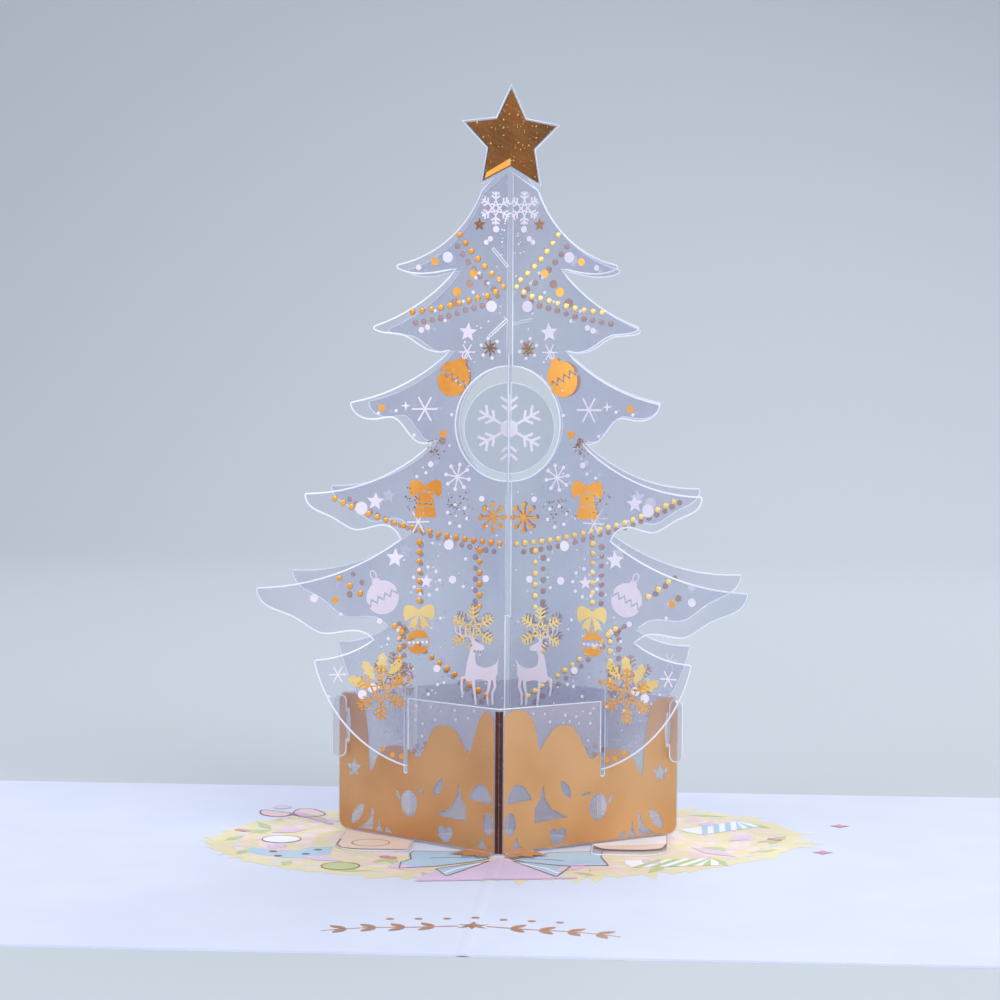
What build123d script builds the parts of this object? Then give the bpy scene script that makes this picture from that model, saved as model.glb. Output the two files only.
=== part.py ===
"""Pop-up card: a folded card whose opening stands up a clear film tree in a clear film box.

Sizes are in millimetres. The card lies open and flat: X runs across the fold, Y along the
fold and away from the reader, Z up. The origin is the middle of the open card's underside.
"""

import os
from math import cos, radians, sin, tan

from build123d import *

# Card: one sheet, folded once down its middle
leaf_width = 200.0
card_depth = 200.0
card_thickness = 0.5
bead_height = 0.2
bead_half_width = 1.5

# Clear film, and the play between films that pass through each other
film = 0.5
slit_play = 0.2

# Box: a front and a back strip, each folded once, hooked together at the left and right
back_margin = 67.5
box_half_span = 40.0
box_half_depth = 30.0
wall_height = 35.0
wall_fold_radius = 1.0
wall_corner = 2.5
hook_inset = 3.3

# Hooks at the ends of the back strip, and the slits that they pass through
hook_neck_height = 7.4
hook_neck_centre = 26.9
hook_head_height = 15.8
hook_head_length = 4.2
hook_head_corner = 1.8
slit_end_hole = 1.1

# Glue tabs: the parts of each strip that are bent outwards onto the card
tab_inner = 22.0
tab_reach = 27.0
tab_corner = 7.0
foot_length = 8.0

# Points of each foot's jagged outer edge: distance from the fold, and reach out of the corner
foot_points = [(12.0, 0.3), (8.4, 0.4), (8.7, 2.8), (5.4, 1.9), (4.6, 4.0), (1.8, 2.9)]

# Tree: two films that cross on the upright axis over the fold
tree_angle = 26.0
tree_apex = 166.0
star_root = 168.5
tree_crossing = 54.9
tree_foot = 0.8
branch_passage = 18.5
passage_drop = 1.0
tip_radius = 0.7
apex_shoulder = (7.9, 161.0)
apex_sag = 5.0

# Branch tiers from the top: tip reach and height, then reach and height of the notch below
tier_tips = [(31.4, 141.9), (36.9, 126.8), (42.1, 108.5), (53.6, 86.5), (65.8, 63.9)]
tier_notches = [(14.6, 141.3), (16.1, 121.2), (20.8, 98.4), (28.9, 74.8), (35.8, 50.2)]

# How far the edge above each tip hangs below a straight line
tier_sags = [apex_sag, 2.2, 2.3, 3.5, 3.1]

# Scallops under each branch: share of the way from tip to notch, and height off that line
tier_scallops = [
    [(0.14, -1.2), (0.55, -1.7)],
    [(0.13, -0.7), (0.41, 0.2), (0.67, -1.4), (0.86, -1.4)],
    [(0.08, -2.3), (0.31, -1.3), (0.53, 1.3), (0.77, -1.4)],
    [(0.04, -2.4), (0.29, -2.9), (0.54, -3.1), (0.81, 1.1)],
    [(0.05, -2.9), (0.33, -3.3), (0.56, -4.2), (0.84, 0.0)],
]

# Skirt under the lowest branch
skirt_tip = (51.2, 45.9)
skirt_sag = 1.2
skirt_bulge = 4.6

# Star on the first film
star_centre = 173.5
star_radius = 14.0
star_inner_radius = 7.0

# Short angled cuts beside the axis that snap the two films together
barb_cut = 0.3
barbs = [(-3.1, 127.0, 5.9, 42.0), (3.4, 128.6, 4.6, 12.0), (-2.7, 144.4, 5.6, -48.0)]

# Round hole through both films, and the ornament that hangs in it
hole_radius = 14.2
hole_centre = 103.1
disc_radius = 11.5
disc_centre = 102.0
strip_width = 8.0
strip_overlap = 3.0
strip_play = 0.3

# Values worked out from the sizes above
card_top = card_thickness
axis_y = card_depth / 2 - back_margin
wall_length = (box_half_span**2 + box_half_depth**2) ** 0.5
wall_run = Vector(box_half_span, box_half_depth, 0) / wall_length
wall_foot = card_top + film
wall_top = wall_foot + wall_height
tree_run = Vector(cos(radians(tree_angle)), sin(radians(tree_angle)), 0)

# The share of the wall from its fold to where the tree film passes through it
passage_share = box_half_depth / (box_half_depth + box_half_span * tan(radians(tree_angle)))
passage = Vector(box_half_span * passage_share, box_half_depth * (1 - passage_share), 0)


def slit_width(angle):
    """Width of a slit that lets one film through another at an angle between them."""
    return film / sin(radians(angle)) + film / abs(tan(radians(angle))) + slit_play


hook_angle = 2 * wall_run.get_angle(Vector(1, 0, 0))
passage_angle = tree_angle + wall_run.get_angle(Vector(1, 0, 0))


def on_axis(x, y, z=0.0):
    """A point given from the tree's upright axis, with its height from the card's underside."""
    return Vector(x, axis_y + y, z)


def upright_plane(foot, run):
    """An upright drawing plane: its X runs along the film, its Y is height above the card."""
    return Plane(origin=foot + Vector(0, 0, card_top), x_dir=run, z_dir=run.cross(Vector(0, 0, 1)))


def between(start, end, share, rise=0.0):
    """The point at a share of the way from start to end, raised off that line."""
    x = start[0] + (end[0] - start[0]) * share
    y = start[1] + (end[1] - start[1]) * share
    return (x, y + rise)


with BuildPart() as card:
    with BuildSketch(Plane.XZ):
        with BuildLine():
            under = ThreePointArc((-bead_half_width, 0), (0, bead_height), (bead_half_width, 0))
            over = ThreePointArc(
                (-bead_half_width, card_top),
                (0, card_top + bead_height),
                (bead_half_width, card_top),
            )
            Polyline(under @ 0, (-leaf_width, 0), (-leaf_width, card_top), over @ 0)
            Polyline(under @ 1, (leaf_width, 0), (leaf_width, card_top), over @ 1)
        make_face()
    extrude(amount=card_depth / 2, both=True)


def wall_point(side, facing, share, beyond=0.0):
    """A point in plan on a wall's middle line, from the fold at 0 to the hooked corner at 1."""
    along = share + beyond / wall_length
    return (side * box_half_span * along, axis_y + facing * box_half_depth * (1 - along))


def wall_plane(side, facing, share):
    """An upright drawing plane on a wall, running from the fold towards the hooked corner."""
    x, y = wall_point(side, facing, share)
    run = Vector(side * box_half_span, -facing * box_half_depth, 0) / wall_length
    return upright_plane(Vector(x, y, 0), run)


def strip_plan(facing, beyond):
    """Plan of a strip that is folded once and ends a little beyond its two hooked corners."""
    ends = [wall_point(side, facing, 1, beyond) for side in (-1, 1)]
    with BuildSketch(Plane.XY.offset(wall_foot)) as plan:
        with BuildLine():
            FilletPolyline(ends[0], wall_point(1, facing, 0), ends[1], radius=wall_fold_radius)
        trace(line_width=film)
    return plan.sketch


def tab_plan(side, facing):
    """Plan of one glue tab, from the wall's middle line out to a straight rounded edge."""
    near = wall_point(side, facing, tab_inner / box_half_span)
    far = wall_point(side, facing, 1)
    edge_y = axis_y + facing * tab_reach
    edge_x = side * (box_half_span + film)
    with BuildSketch(Plane.XY.offset(card_top)) as plan:
        with BuildLine():
            FilletPolyline(
                near,
                (side * tab_inner, edge_y),
                (edge_x, edge_y),
                (edge_x, far[1]),
                far,
                radius=[tab_corner / 4, tab_corner, film / 4],
            )
            Line(far, near)
        make_face()
    return plan.sketch


def foot_plan(side, facing):
    """Plan of one short foot beside the fold, kept off the card's raised fold line."""
    shares = [bead_half_width / box_half_span * 1.2, foot_length / box_half_span]
    inner = [wall_point(side, facing, share) for share in shares]
    corner_y = wall_point(side, facing, 0)[1]
    outer = [(side * x, corner_y + facing * reach) for x, reach in foot_points]
    with BuildSketch(Plane.XY.offset(card_top)) as plan:
        with BuildLine():
            Polyline(*inner, *outer, close=True)
        make_face()
    return plan.sketch


def add_strip(facing, beyond):
    """A folded strip with its glue tabs and feet, all from one film."""
    extrude(strip_plan(facing, beyond), amount=wall_height)
    for side in (-1, 1):
        extrude(tab_plan(side, facing), amount=film)
        extrude(foot_plan(side, facing), amount=film)


def cut_passages(facing):
    """Slots, open at the top, that the tree films pass through."""
    width = slit_width(passage_angle)
    foot = branch_passage - passage_drop
    for side in (-1, 1):
        with BuildSketch(wall_plane(side, facing, passage_share)) as slot:
            with Locations((0, (foot + wall_top) / 2)):
                Rectangle(width, wall_top - foot)
            with Locations((0, foot)):
                Circle(width / 2)
        extrude(slot.sketch, amount=2 * film, both=True, mode=Mode.SUBTRACT)


with BuildPart() as front_wall:
    add_strip(-1, hook_inset)
    outer_ends = front_wall.edges().filter_by(lambda edge: abs(edge.center().X) > box_half_span + 2 * film)
    fillet([edge for edge in outer_ends if edge.length < 2 * film], wall_corner)
    cut_passages(-1)
    for side in (-1, 1):
        with BuildSketch(wall_plane(side, -1, 1)):
            with Locations((0, hook_neck_centre)):
                Rectangle(slit_width(hook_angle), hook_neck_height + slit_play)
            with GridLocations(0, hook_neck_height + slit_play, 1, 2):
                with Locations((0, hook_neck_centre)):
                    Circle(slit_end_hole / 2)
        extrude(amount=2 * film, both=True, mode=Mode.SUBTRACT)

with BuildPart() as back_wall:
    add_strip(1, -film - slit_play)
    cut_passages(1)
    for side in (-1, 1):
        with BuildSketch(wall_plane(side, 1, 1)):
            with Locations((0, hook_neck_centre)):
                Rectangle(4 * film + 2 * slit_play, hook_neck_height)
                with Locations((film + slit_play + hook_head_length / 2, 0)):
                    RectangleRounded(hook_head_length, hook_head_height, hook_head_corner)
        extrude(amount=film / 2, both=True)


def tree_half(apex):
    """Half of the tree's outline, drawn with X as reach from the axis and Y as height."""
    with BuildSketch() as half:
        with BuildLine():
            Polyline((0, tree_foot), (0, apex), apex_shoulder)
            above = apex_shoulder
            tiers = zip(tier_tips, tier_notches, tier_sags, tier_scallops)
            for tip, notch, sag, scallops in tiers:
                ThreePointArc(above, between(above, tip, 0.5, -sag), tip)
                Spline(tip, *[between(tip, notch, *scallop) for scallop in scallops], notch)
                above = notch
            ThreePointArc(above, between(above, skirt_tip, 0.5, -skirt_sag), skirt_tip)
            passage_reach = passage.length
            skirt_end = (passage_reach + film, branch_passage)
            chord = Vector(skirt_tip) - Vector(skirt_end)
            bulge = Vector(chord.Y, -chord.X) / chord.length * skirt_bulge
            middle = (Vector(skirt_tip) + Vector(skirt_end)) / 2 + bulge
            ThreePointArc(skirt_tip, (middle.X, middle.Y), skirt_end)
            inside = passage_reach - slit_width(passage_angle)
            Polyline(skirt_end, (inside, branch_passage), (inside, tree_foot), (0, tree_foot))
        make_face()
        tips = [vertex for vertex in half.vertices() if is_tip(vertex)]
        fillet(tips, tip_radius)
    return half.sketch


def is_tip(vertex):
    """Whether a corner of the outline is the tip of a branch or of the skirt."""
    return any(abs(vertex.X - x) + abs(vertex.Y - y) < 0.01 for x, y in [*tier_tips, skirt_tip])


def star_outline():
    """A regular five-pointed star, one point up."""
    points = []
    for step in range(5):
        for radius, turn in ((star_radius, 90), (star_inner_radius, 126)):
            angle = radians(turn + 72 * step)
            points.append((radius * cos(angle), star_centre + radius * sin(angle)))
    with BuildSketch() as star:
        with BuildLine():
            Polyline(*points, close=True)
        make_face()
    return star.sketch


def draw_tree(apex):
    """The whole tree outline, with its round hole."""
    half_tree = tree_half(apex)
    add(half_tree)
    add(half_tree.mirror(Plane.YZ))
    with Locations((0, hole_centre)):
        Circle(hole_radius, mode=Mode.SUBTRACT)


def cut_barbs():
    """Angled cuts beside the axis."""
    for x, z, length, angle in barbs:
        with Locations((x, z)):
            Rectangle(length, barb_cut, rotation=angle, mode=Mode.SUBTRACT)


tree_slit = slit_width(2 * tree_angle)
star_plane = upright_plane(on_axis(0, 0), tree_run)
cross_plane = upright_plane(on_axis(0, 0), Vector(tree_run.X, -tree_run.Y, 0))

with BuildPart() as star_film:
    with BuildSketch(star_plane):
        draw_tree(star_root)
        add(star_outline())
        with Locations((0, tree_crossing / 2)):
            Rectangle(tree_slit, tree_crossing, mode=Mode.SUBTRACT)
        cut_barbs()
    extrude(amount=film / 2, both=True)

with BuildPart() as cross_film:
    with BuildSketch(cross_plane):
        draw_tree(tree_apex)
        with Locations((0, (tree_crossing + tree_apex) / 2)):
            Rectangle(tree_slit, tree_apex - tree_crossing, mode=Mode.SUBTRACT)
    extrude(amount=film / 2, both=True)

with BuildPart() as ornament_disc:
    with BuildSketch(upright_plane(on_axis(0, 0), Vector(1, 0, 0))):
        with Locations((0, disc_centre)):
            Circle(disc_radius)
            with Locations((0, disc_radius / 2)):
                Rectangle(film + strip_play, disc_radius, mode=Mode.SUBTRACT)
    extrude(amount=film / 2, both=True)

with BuildPart() as ornament_strip:
    strip_bottom = hole_centre - hole_radius - strip_overlap
    strip_top = hole_centre + hole_radius + strip_overlap
    strip_slit = film / cos(radians(tree_angle)) + film * tan(radians(tree_angle)) + slit_play
    with BuildSketch(upright_plane(on_axis(0, 0), Vector(0, 1, 0))):
        with Locations((0, (strip_bottom + strip_top) / 2)):
            Rectangle(strip_width, strip_top - strip_bottom)
        with Locations((0, (strip_bottom + disc_centre) / 2)):
            Rectangle(strip_slit, disc_centre - strip_bottom, mode=Mode.SUBTRACT)
        with Locations((0, strip_top - strip_overlap / 2)):
            Rectangle(strip_slit, strip_overlap + strip_play, mode=Mode.SUBTRACT)
    extrude(amount=film / 2, both=True)

pieces = {
    "card": card,
    "front_wall": front_wall,
    "back_wall": back_wall,
    "star_film": star_film,
    "cross_film": cross_film,
    "ornament_disc": ornament_disc,
    "ornament_strip": ornament_strip,
}

os.makedirs("parts", exist_ok=True)
for name, piece in pieces.items():
    piece.part.label = name
    export_step(piece.part, f"parts/{name}.step")
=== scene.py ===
"""Looks of the pop-up card: clear film, foil and inks of the tree and its box, and the printed card.

The model's own unit is the metre. Drawings are in millimetres, on the sheet that they are printed on:
x runs along the sheet from the tree's axis or from the wall's fold, y is height or depth, z is off it.
"""

import random
from math import atan2, cos, hypot, pi, radians, sin

import bmesh
import bpy
from mathutils import Matrix, Vector
from mathutils.bvhtree import BVHTree


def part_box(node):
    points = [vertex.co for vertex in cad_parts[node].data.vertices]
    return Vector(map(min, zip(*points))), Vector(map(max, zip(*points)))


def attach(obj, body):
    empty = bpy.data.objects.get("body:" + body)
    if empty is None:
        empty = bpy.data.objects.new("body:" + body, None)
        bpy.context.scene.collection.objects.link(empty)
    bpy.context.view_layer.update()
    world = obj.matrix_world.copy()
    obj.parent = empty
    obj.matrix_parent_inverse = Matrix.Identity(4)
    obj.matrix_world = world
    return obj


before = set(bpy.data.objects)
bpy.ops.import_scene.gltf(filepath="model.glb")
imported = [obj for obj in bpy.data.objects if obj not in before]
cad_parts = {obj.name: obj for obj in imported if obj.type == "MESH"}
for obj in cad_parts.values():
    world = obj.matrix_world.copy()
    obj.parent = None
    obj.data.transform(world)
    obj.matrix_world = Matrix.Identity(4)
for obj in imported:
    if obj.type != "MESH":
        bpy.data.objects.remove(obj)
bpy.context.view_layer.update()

MM = 0.001
SEED = 11

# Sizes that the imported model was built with
FILM = 0.5
CARD_TOP = 0.5
WALL_FOOT = 1.0
WALL_HEIGHT = 35.0
WALL_LENGTH = 50.0
WALL_BEYOND = 3.3
BOX_HALF_SPAN = 40.0
BOX_HALF_DEPTH = 30.0
WALL_ANGLE = atan2(BOX_HALF_DEPTH, BOX_HALF_SPAN)
FOLD_RADIUS = 1.0
TREE_ANGLE = radians(26)
STAR_CENTRE = 173.5
STAR_RADIUS = 14.0
STAR_INNER = 7.0
DISC_CENTRE = 102.0
HOOK_SLIT_CENTRE = 26.4
BEAD_HEIGHT = 0.2
BEAD_HALF = 1.5

# The tree's upright axis, in metres, from the disc that hangs on it
disc_low, disc_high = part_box("ornament_disc")
AXIS_X = (disc_low.x + disc_high.x) / 2
AXIS_Y = (disc_low.y + disc_high.y) / 2

# Print is a thin slab just off its sheet; slabs of one ink lie a hair apart, and overprint lies higher
PRINT_GAP = 0.01
PRINT_THICKNESS = 0.05
HAIR = 0.0012
HAIRS = 9
OVERPRINT = 0.012


def srgb(red, green, blue):
    """A colour written in screen values, from 0 to 255, as the shader's linear one."""
    linear = []
    for value in (red, green, blue):
        share = value / 255
        linear.append(share / 12.92 if share <= 0.04045 else ((share + 0.055) / 1.055) ** 2.4)
    return (*linear, 1.0)


def new_object(name, data):
    """An object with this data, in the scene."""
    made = bpy.data.objects.new(name, data)
    bpy.context.scene.collection.objects.link(made)
    return made


def evaluated_mesh(holder):
    """The mesh that an object comes to; the object itself goes."""
    graph = bpy.context.evaluated_depsgraph_get()
    mesh = bpy.data.meshes.new_from_object(holder.evaluated_get(graph), depsgraph=graph)
    holder.modifiers.clear()
    bpy.data.objects.remove(holder)
    return mesh


# Shader groups: effects that more than one finish uses


def shader_group(name, inputs, outputs):
    """An empty shader group with named sockets, and its input and output nodes."""
    group = bpy.data.node_groups.new(name, "ShaderNodeTree")
    for label, value in inputs.items():
        kind = "NodeSocketFloat" if isinstance(value, (int, float)) else "NodeSocketColor"
        group.interface.new_socket(label, in_out="INPUT", socket_type=kind).default_value = value
    for label, kind in outputs.items():
        group.interface.new_socket(label, in_out="OUTPUT", socket_type=kind)
    return group, group.nodes.new("NodeGroupInput"), group.nodes.new("NodeGroupOutput")


def feed(group, socket, value):
    """A socket's value: a number or colour of its own, or a link from another socket."""
    if isinstance(value, (int, float, tuple)):
        socket.default_value = value
    else:
        group.links.new(value, socket)


def noise(group, coordinates, scale, detail=3.0, stretch=(1, 1, 1), turn=0.0):
    """A noise texture on the piece's own coordinates, drawn out along its turned axes."""
    mapping = group.nodes.new("ShaderNodeMapping")
    mapping.vector_type = "TEXTURE"
    mapping.inputs["Scale"].default_value = stretch
    mapping.inputs["Rotation"].default_value = (0, turn, 0)
    texture = group.nodes.new("ShaderNodeTexNoise")
    texture.inputs["Scale"].default_value = scale
    texture.inputs["Detail"].default_value = detail
    group.links.new(coordinates.outputs["Object"], mapping.inputs["Vector"])
    group.links.new(mapping.outputs["Vector"], texture.inputs["Vector"])
    return texture.outputs["Fac"]


def spread(group, value, low, high, to_low, to_high):
    """A value taken from one range to another, held at its ends; ends may be sockets or numbers."""
    node = group.nodes.new("ShaderNodeMapRange")
    node.interpolation_type = "SMOOTHSTEP"
    ends = {"Value": value, "From Min": low, "From Max": high, "To Min": to_low, "To Max": to_high}
    for label, end in ends.items():
        feed(group, node.inputs[label], end)
    return node.outputs["Result"]


def blend_colours(group, factor, first, second):
    """Two colours mixed by a factor."""
    node = group.nodes.new("ShaderNodeMix")
    node.data_type = "RGBA"
    for key, value in (("Factor", factor), (6, first), (7, second)):
        feed(group, node.inputs[key], value)
    return node.outputs[2]


def calculate(group, operation, first, second):
    """One sum on two values, each a socket or a number."""
    node = group.nodes.new("ShaderNodeMath")
    node.operation = operation
    feed(group, node.inputs[0], first)
    feed(group, node.inputs[1], second)
    return node.outputs["Value"]


def haze_and_sheen_group():
    """Cloudy haze of clear film: its tint, and how much of it shows; the slow clouds of tint and cover are
    partly the film's own haze and partly painted sheen.
    """
    inputs = {"Cool": (0, 0, 0, 1), "Warm": (0, 0, 0, 1), "Thin": 0.1, "Thick": 0.3}
    outputs = {"Colour": "NodeSocketColor", "Cover": "NodeSocketFloat"}
    group, given, result = shader_group("film_haze_and_sheen", inputs, outputs)
    coordinates = group.nodes.new("ShaderNodeTexCoord")
    clouds = noise(group, coordinates, 22, 2)
    streaks = noise(group, coordinates, 30, 4, (1, 1, 3))
    tint = blend_colours(group, clouds, given.outputs["Cool"], given.outputs["Warm"])
    mixed = calculate(group, "MULTIPLY", calculate(group, "ADD", clouds, streaks), 0.5)
    cover = spread(group, mixed, 0.35, 0.65, given.outputs["Thin"], given.outputs["Thick"])
    group.links.new(tint, result.inputs["Colour"])
    group.links.new(cover, result.inputs["Cover"])
    return group


def foil_group():
    """Hot-stamped foil: slow changes of tone, slanting scratches, pin-prick flecks and fine grain."""
    inputs = {"Light": (0, 0, 0, 1), "Deep": (0, 0, 0, 1), "Fleck": (1, 1, 1, 1), "Flecks": 0.2}
    inputs["Scratches"] = 0.0
    outputs = {"Colour": "NodeSocketColor", "Roughness": "NodeSocketFloat", "Height": "NodeSocketFloat"}
    group, given, result = shader_group("foil_tone", inputs, outputs)
    coordinates = group.nodes.new("ShaderNodeTexCoord")
    tone = spread(group, noise(group, coordinates, 45, 2), 0.3, 0.7, 0.0, 1.0)
    flecks = spread(group, noise(group, coordinates, 1500, 1), 0.66, 0.74, 0.0, 1.0)
    flecks = calculate(group, "MULTIPLY", flecks, given.outputs["Flecks"])
    scratches = noise(group, coordinates, 2200, 2, (16, 16, 1), radians(28))
    scratches = calculate(group, "MULTIPLY", scratches, given.outputs["Scratches"])
    grain = noise(group, coordinates, 1800, 2)
    colour = blend_colours(group, tone, given.outputs["Light"], given.outputs["Deep"])
    colour = blend_colours(group, flecks, colour, given.outputs["Fleck"])
    colour = blend_colours(group, scratches, colour, given.outputs["Fleck"])
    group.links.new(colour, result.inputs["Colour"])
    group.links.new(spread(group, grain, 0.3, 0.7, 0.3, 0.44), result.inputs["Roughness"])
    group.links.new(calculate(group, "ADD", grain, scratches), result.inputs["Height"])
    return group


def paper_group():
    """Smooth coated board: faint clouding of its colour, and the fibre under the coat as height."""
    inputs = {"Base": (1, 1, 1, 1), "Shade": (1, 1, 1, 1)}
    outputs = {"Colour": "NodeSocketColor", "Height": "NodeSocketFloat"}
    group, given, result = shader_group("paper_fibre", inputs, outputs)
    coordinates = group.nodes.new("ShaderNodeTexCoord")
    clouds = spread(group, noise(group, coordinates, 35, 4), 0.35, 0.65, 0.0, 1.0)
    fibre = noise(group, coordinates, 2600, 4, (1, 0.5, 1))
    colour = blend_colours(group, clouds, given.outputs["Base"], given.outputs["Shade"])
    group.links.new(colour, result.inputs["Colour"])
    group.links.new(fibre, result.inputs["Height"])
    return group


film_haze_and_sheen = haze_and_sheen_group()
foil_tone = foil_group()
paper_fibre = paper_group()


def place_group(material, group, values):
    """A shared group in a material, with this finish's own values."""
    node = material.node_tree.nodes.new("ShaderNodeGroup")
    node.node_tree = group
    for label, value in values.items():
        node.inputs[label].default_value = value
    return node


def new_material(name):
    """A material with its Principled shader."""
    material = bpy.data.materials.new(name)
    material.use_nodes = True
    return material, material.node_tree.nodes["Principled BSDF"]


def bump_from(material, shader, height, strength, distance):
    """Fine relief in the shader's normal."""
    bump = material.node_tree.nodes.new("ShaderNodeBump")
    bump.inputs["Strength"].default_value = strength
    bump.inputs["Distance"].default_value = distance * MM
    material.node_tree.links.new(height, bump.inputs["Height"])
    material.node_tree.links.new(bump.outputs["Normal"], shader.inputs["Normal"])


def film_finish(name, cool, warm, thin, thick, glancing):
    """Clear film: a thin haze that thickens where the sheet is seen at a glancing angle."""
    material, shader = new_material(name)
    links = material.node_tree.links
    haze = place_group(material, film_haze_and_sheen, {"Cool": cool, "Warm": warm, "Thin": thin, "Thick": thick})
    weight = material.node_tree.nodes.new("ShaderNodeLayerWeight")
    weight.inputs["Blend"].default_value = 0.25
    cover = calculate(material.node_tree, "MULTIPLY", weight.outputs["Facing"], glancing)
    cover = calculate(material.node_tree, "ADD", haze.outputs["Cover"], cover)
    links.new(haze.outputs["Colour"], shader.inputs["Base Color"])
    links.new(cover, shader.inputs["Alpha"])
    shader.inputs["Roughness"].default_value = 0.18
    shader.inputs["IOR"].default_value = 1.5
    return material


def foil_finish(name, light, deep, flecks=0.1, scratches=0.0, alpha=1.0):
    """Metal foil pressed on the film."""
    material, shader = new_material(name)
    values = {"Light": light, "Deep": deep, "Flecks": flecks, "Scratches": scratches}
    values["Fleck"] = srgb(255, 214, 150)
    foil = place_group(material, foil_tone, values)
    links = material.node_tree.links
    links.new(foil.outputs["Colour"], shader.inputs["Base Color"])
    links.new(foil.outputs["Roughness"], shader.inputs["Roughness"])
    bump_from(material, shader, foil.outputs["Height"], 0.12, 0.01)
    shader.inputs["Metallic"].default_value = 0.8
    shader.inputs["Alpha"].default_value = alpha
    return material


def ink_finish(name, base, shade, roughness=0.6, alpha=1.0):
    """Ink or board: matt, with the paper group's clouding and fibre."""
    material, shader = new_material(name)
    paper = place_group(material, paper_fibre, {"Base": base, "Shade": shade})
    material.node_tree.links.new(paper.outputs["Colour"], shader.inputs["Base Color"])
    bump_from(material, shader, paper.outputs["Height"], 0.15, 0.02)
    shader.inputs["Roughness"].default_value = roughness
    shader.inputs["Alpha"].default_value = alpha
    return material


tree_film = film_finish("tree_film", srgb(112, 138, 184), srgb(166, 156, 188), 0.07, 0.22, 0.25)
wall_film = film_finish("wall_film", srgb(178, 180, 202), srgb(208, 200, 210), 0.16, 0.28, 0.3)
disc_film = film_finish("disc_film", srgb(104, 130, 166), srgb(136, 152, 184), 0.12, 0.2, 0.3)
# Near-white bead for the films' cut edges: partly the frosted cut, partly a painted highlight of light caught
# in the edge; its faint glow is painted light, as no lamp is there
glowing_cut_edge = ink_finish("glowing_cut_edge", srgb(244, 247, 253), srgb(226, 233, 245), 0.3, 0.92)
glowing_cut_edge.node_tree.nodes["Principled BSDF"].inputs["Emission Color"].default_value = srgb(236, 242, 252)
glowing_cut_edge.node_tree.nodes["Principled BSDF"].inputs["Emission Strength"].default_value = 0.18
wall_foil = foil_finish("wall_foil", srgb(228, 178, 126), srgb(212, 158, 106), 0.1)
# A darker copy of the wall foil for the left wall: painted shade for the weaker light on that wall, not a
# different foil
painted_shade_foil = foil_finish("painted_shade_wall_foil", srgb(212, 160, 112), srgb(196, 142, 94), 0.1)
star_foil = foil_finish("star_foil", srgb(124, 66, 20), srgb(80, 44, 14), 0.7, 0.12)
gold_print = foil_finish("gold_print", srgb(250, 184, 94), srgb(232, 152, 70), 0.3)
pale_print = foil_finish("pale_gold_print", srgb(252, 224, 156), srgb(238, 196, 118), 0.3)
dull_print = foil_finish("dull_gold_print", srgb(172, 124, 84), srgb(132, 98, 72), 0.3)
# Half-clear dull bronze for the gold on the tree's far halves: painted shade and dark reflection for gold
# seen through the other film; the real print is the same gold
painted_shade_far_gold = foil_finish("painted_shade_far_gold", srgb(214, 144, 92), srgb(184, 120, 78), 0.1, 0.0, 0.42)
greeting_foil = foil_finish("greeting_foil", srgb(222, 182, 160), srgb(206, 164, 142), 0.1, 0.0, 0.75)
# Near-black brown foil for the box's front fold: painted dark reflection of dark surroundings in the bent
# foil, not the foil's own colour
painted_dark_crease_foil = foil_finish("painted_dark_crease_foil", srgb(92, 54, 42), srgb(60, 34, 28), 0.1)
white_ink = ink_finish("white_ink", srgb(234, 230, 243), srgb(222, 215, 233), 0.5)
# Half-clear white: on the tree's far halves its dimming is painted shade for print seen through the other
# film; the walls' snow uses it too
faint_ink = ink_finish("faint_white_ink", srgb(226, 228, 244), srgb(212, 208, 230), 0.5, 0.45)
lilac_ink = ink_finish("lilac_white_ink", srgb(222, 213, 230), srgb(212, 201, 220), 0.5)
card_stock = ink_finish("card_stock", srgb(212, 219, 240), srgb(209, 216, 238), 0.8)
PASTELS = {
    "blush": ((236, 222, 222), (228, 212, 214)),
    "yellow": ((230, 222, 184), (220, 210, 172)),
    "peach": ((236, 218, 208), (228, 206, 196)),
    "pink": ((236, 208, 216), (226, 194, 206)),
    "lilac": ((222, 202, 230), (212, 192, 222)),
    "blue": ((182, 210, 232), (168, 198, 226)),
    "green": ((194, 206, 154), (178, 194, 138)),
    "white": ((242, 243, 250), (232, 235, 247)),
    "orchid": ((216, 182, 220), (206, 170, 212)),
    "rose": ((216, 150, 172), (202, 132, 156)),
    "brown": ((146, 112, 102), (122, 90, 82)),
}
pastels = {name: ink_finish("ink_" + name, srgb(*a), srgb(*b)) for name, (a, b) in PASTELS.items()}


# Sheets: where each drawing lies


def upright_sheet(angle, foot_x=0.0, foot_y=0.0, height=CARD_TOP):
    """An upright sheet's frame: x along it, y up, z out of its printed side."""
    run = Vector((cos(angle), sin(angle), 0))
    out = run.cross(Vector((0, 0, 1)))
    turn = Matrix((run, Vector((0, 0, 1)), out)).transposed().to_4x4()
    foot = Vector((AXIS_X + foot_x * MM, AXIS_Y + foot_y * MM, height * MM))
    return Matrix.Translation(foot) @ turn @ Matrix.Scale(MM, 4)


star_sheet = upright_sheet(TREE_ANGLE)
cross_sheet = upright_sheet(-TREE_ANGLE)
disc_sheet = upright_sheet(0)
card_sheet = Matrix.Translation((AXIS_X, AXIS_Y, CARD_TOP * MM)) @ Matrix.Scale(MM, 4)
front_walls = {side: upright_sheet(side * WALL_ANGLE, 0, -BOX_HALF_DEPTH, WALL_FOOT) for side in (-1, 1)}
back_walls = {side: upright_sheet(pi + side * WALL_ANGLE, 0, BOX_HALF_DEPTH, WALL_FOOT) for side in (-1, 1)}


def surface_of(node):
    """A node's faces, to find whether a place lies on its sheet."""
    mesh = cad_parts[node].data
    return BVHTree.FromPolygons([v.co for v in mesh.vertices], [p.vertices for p in mesh.polygons])


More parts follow.
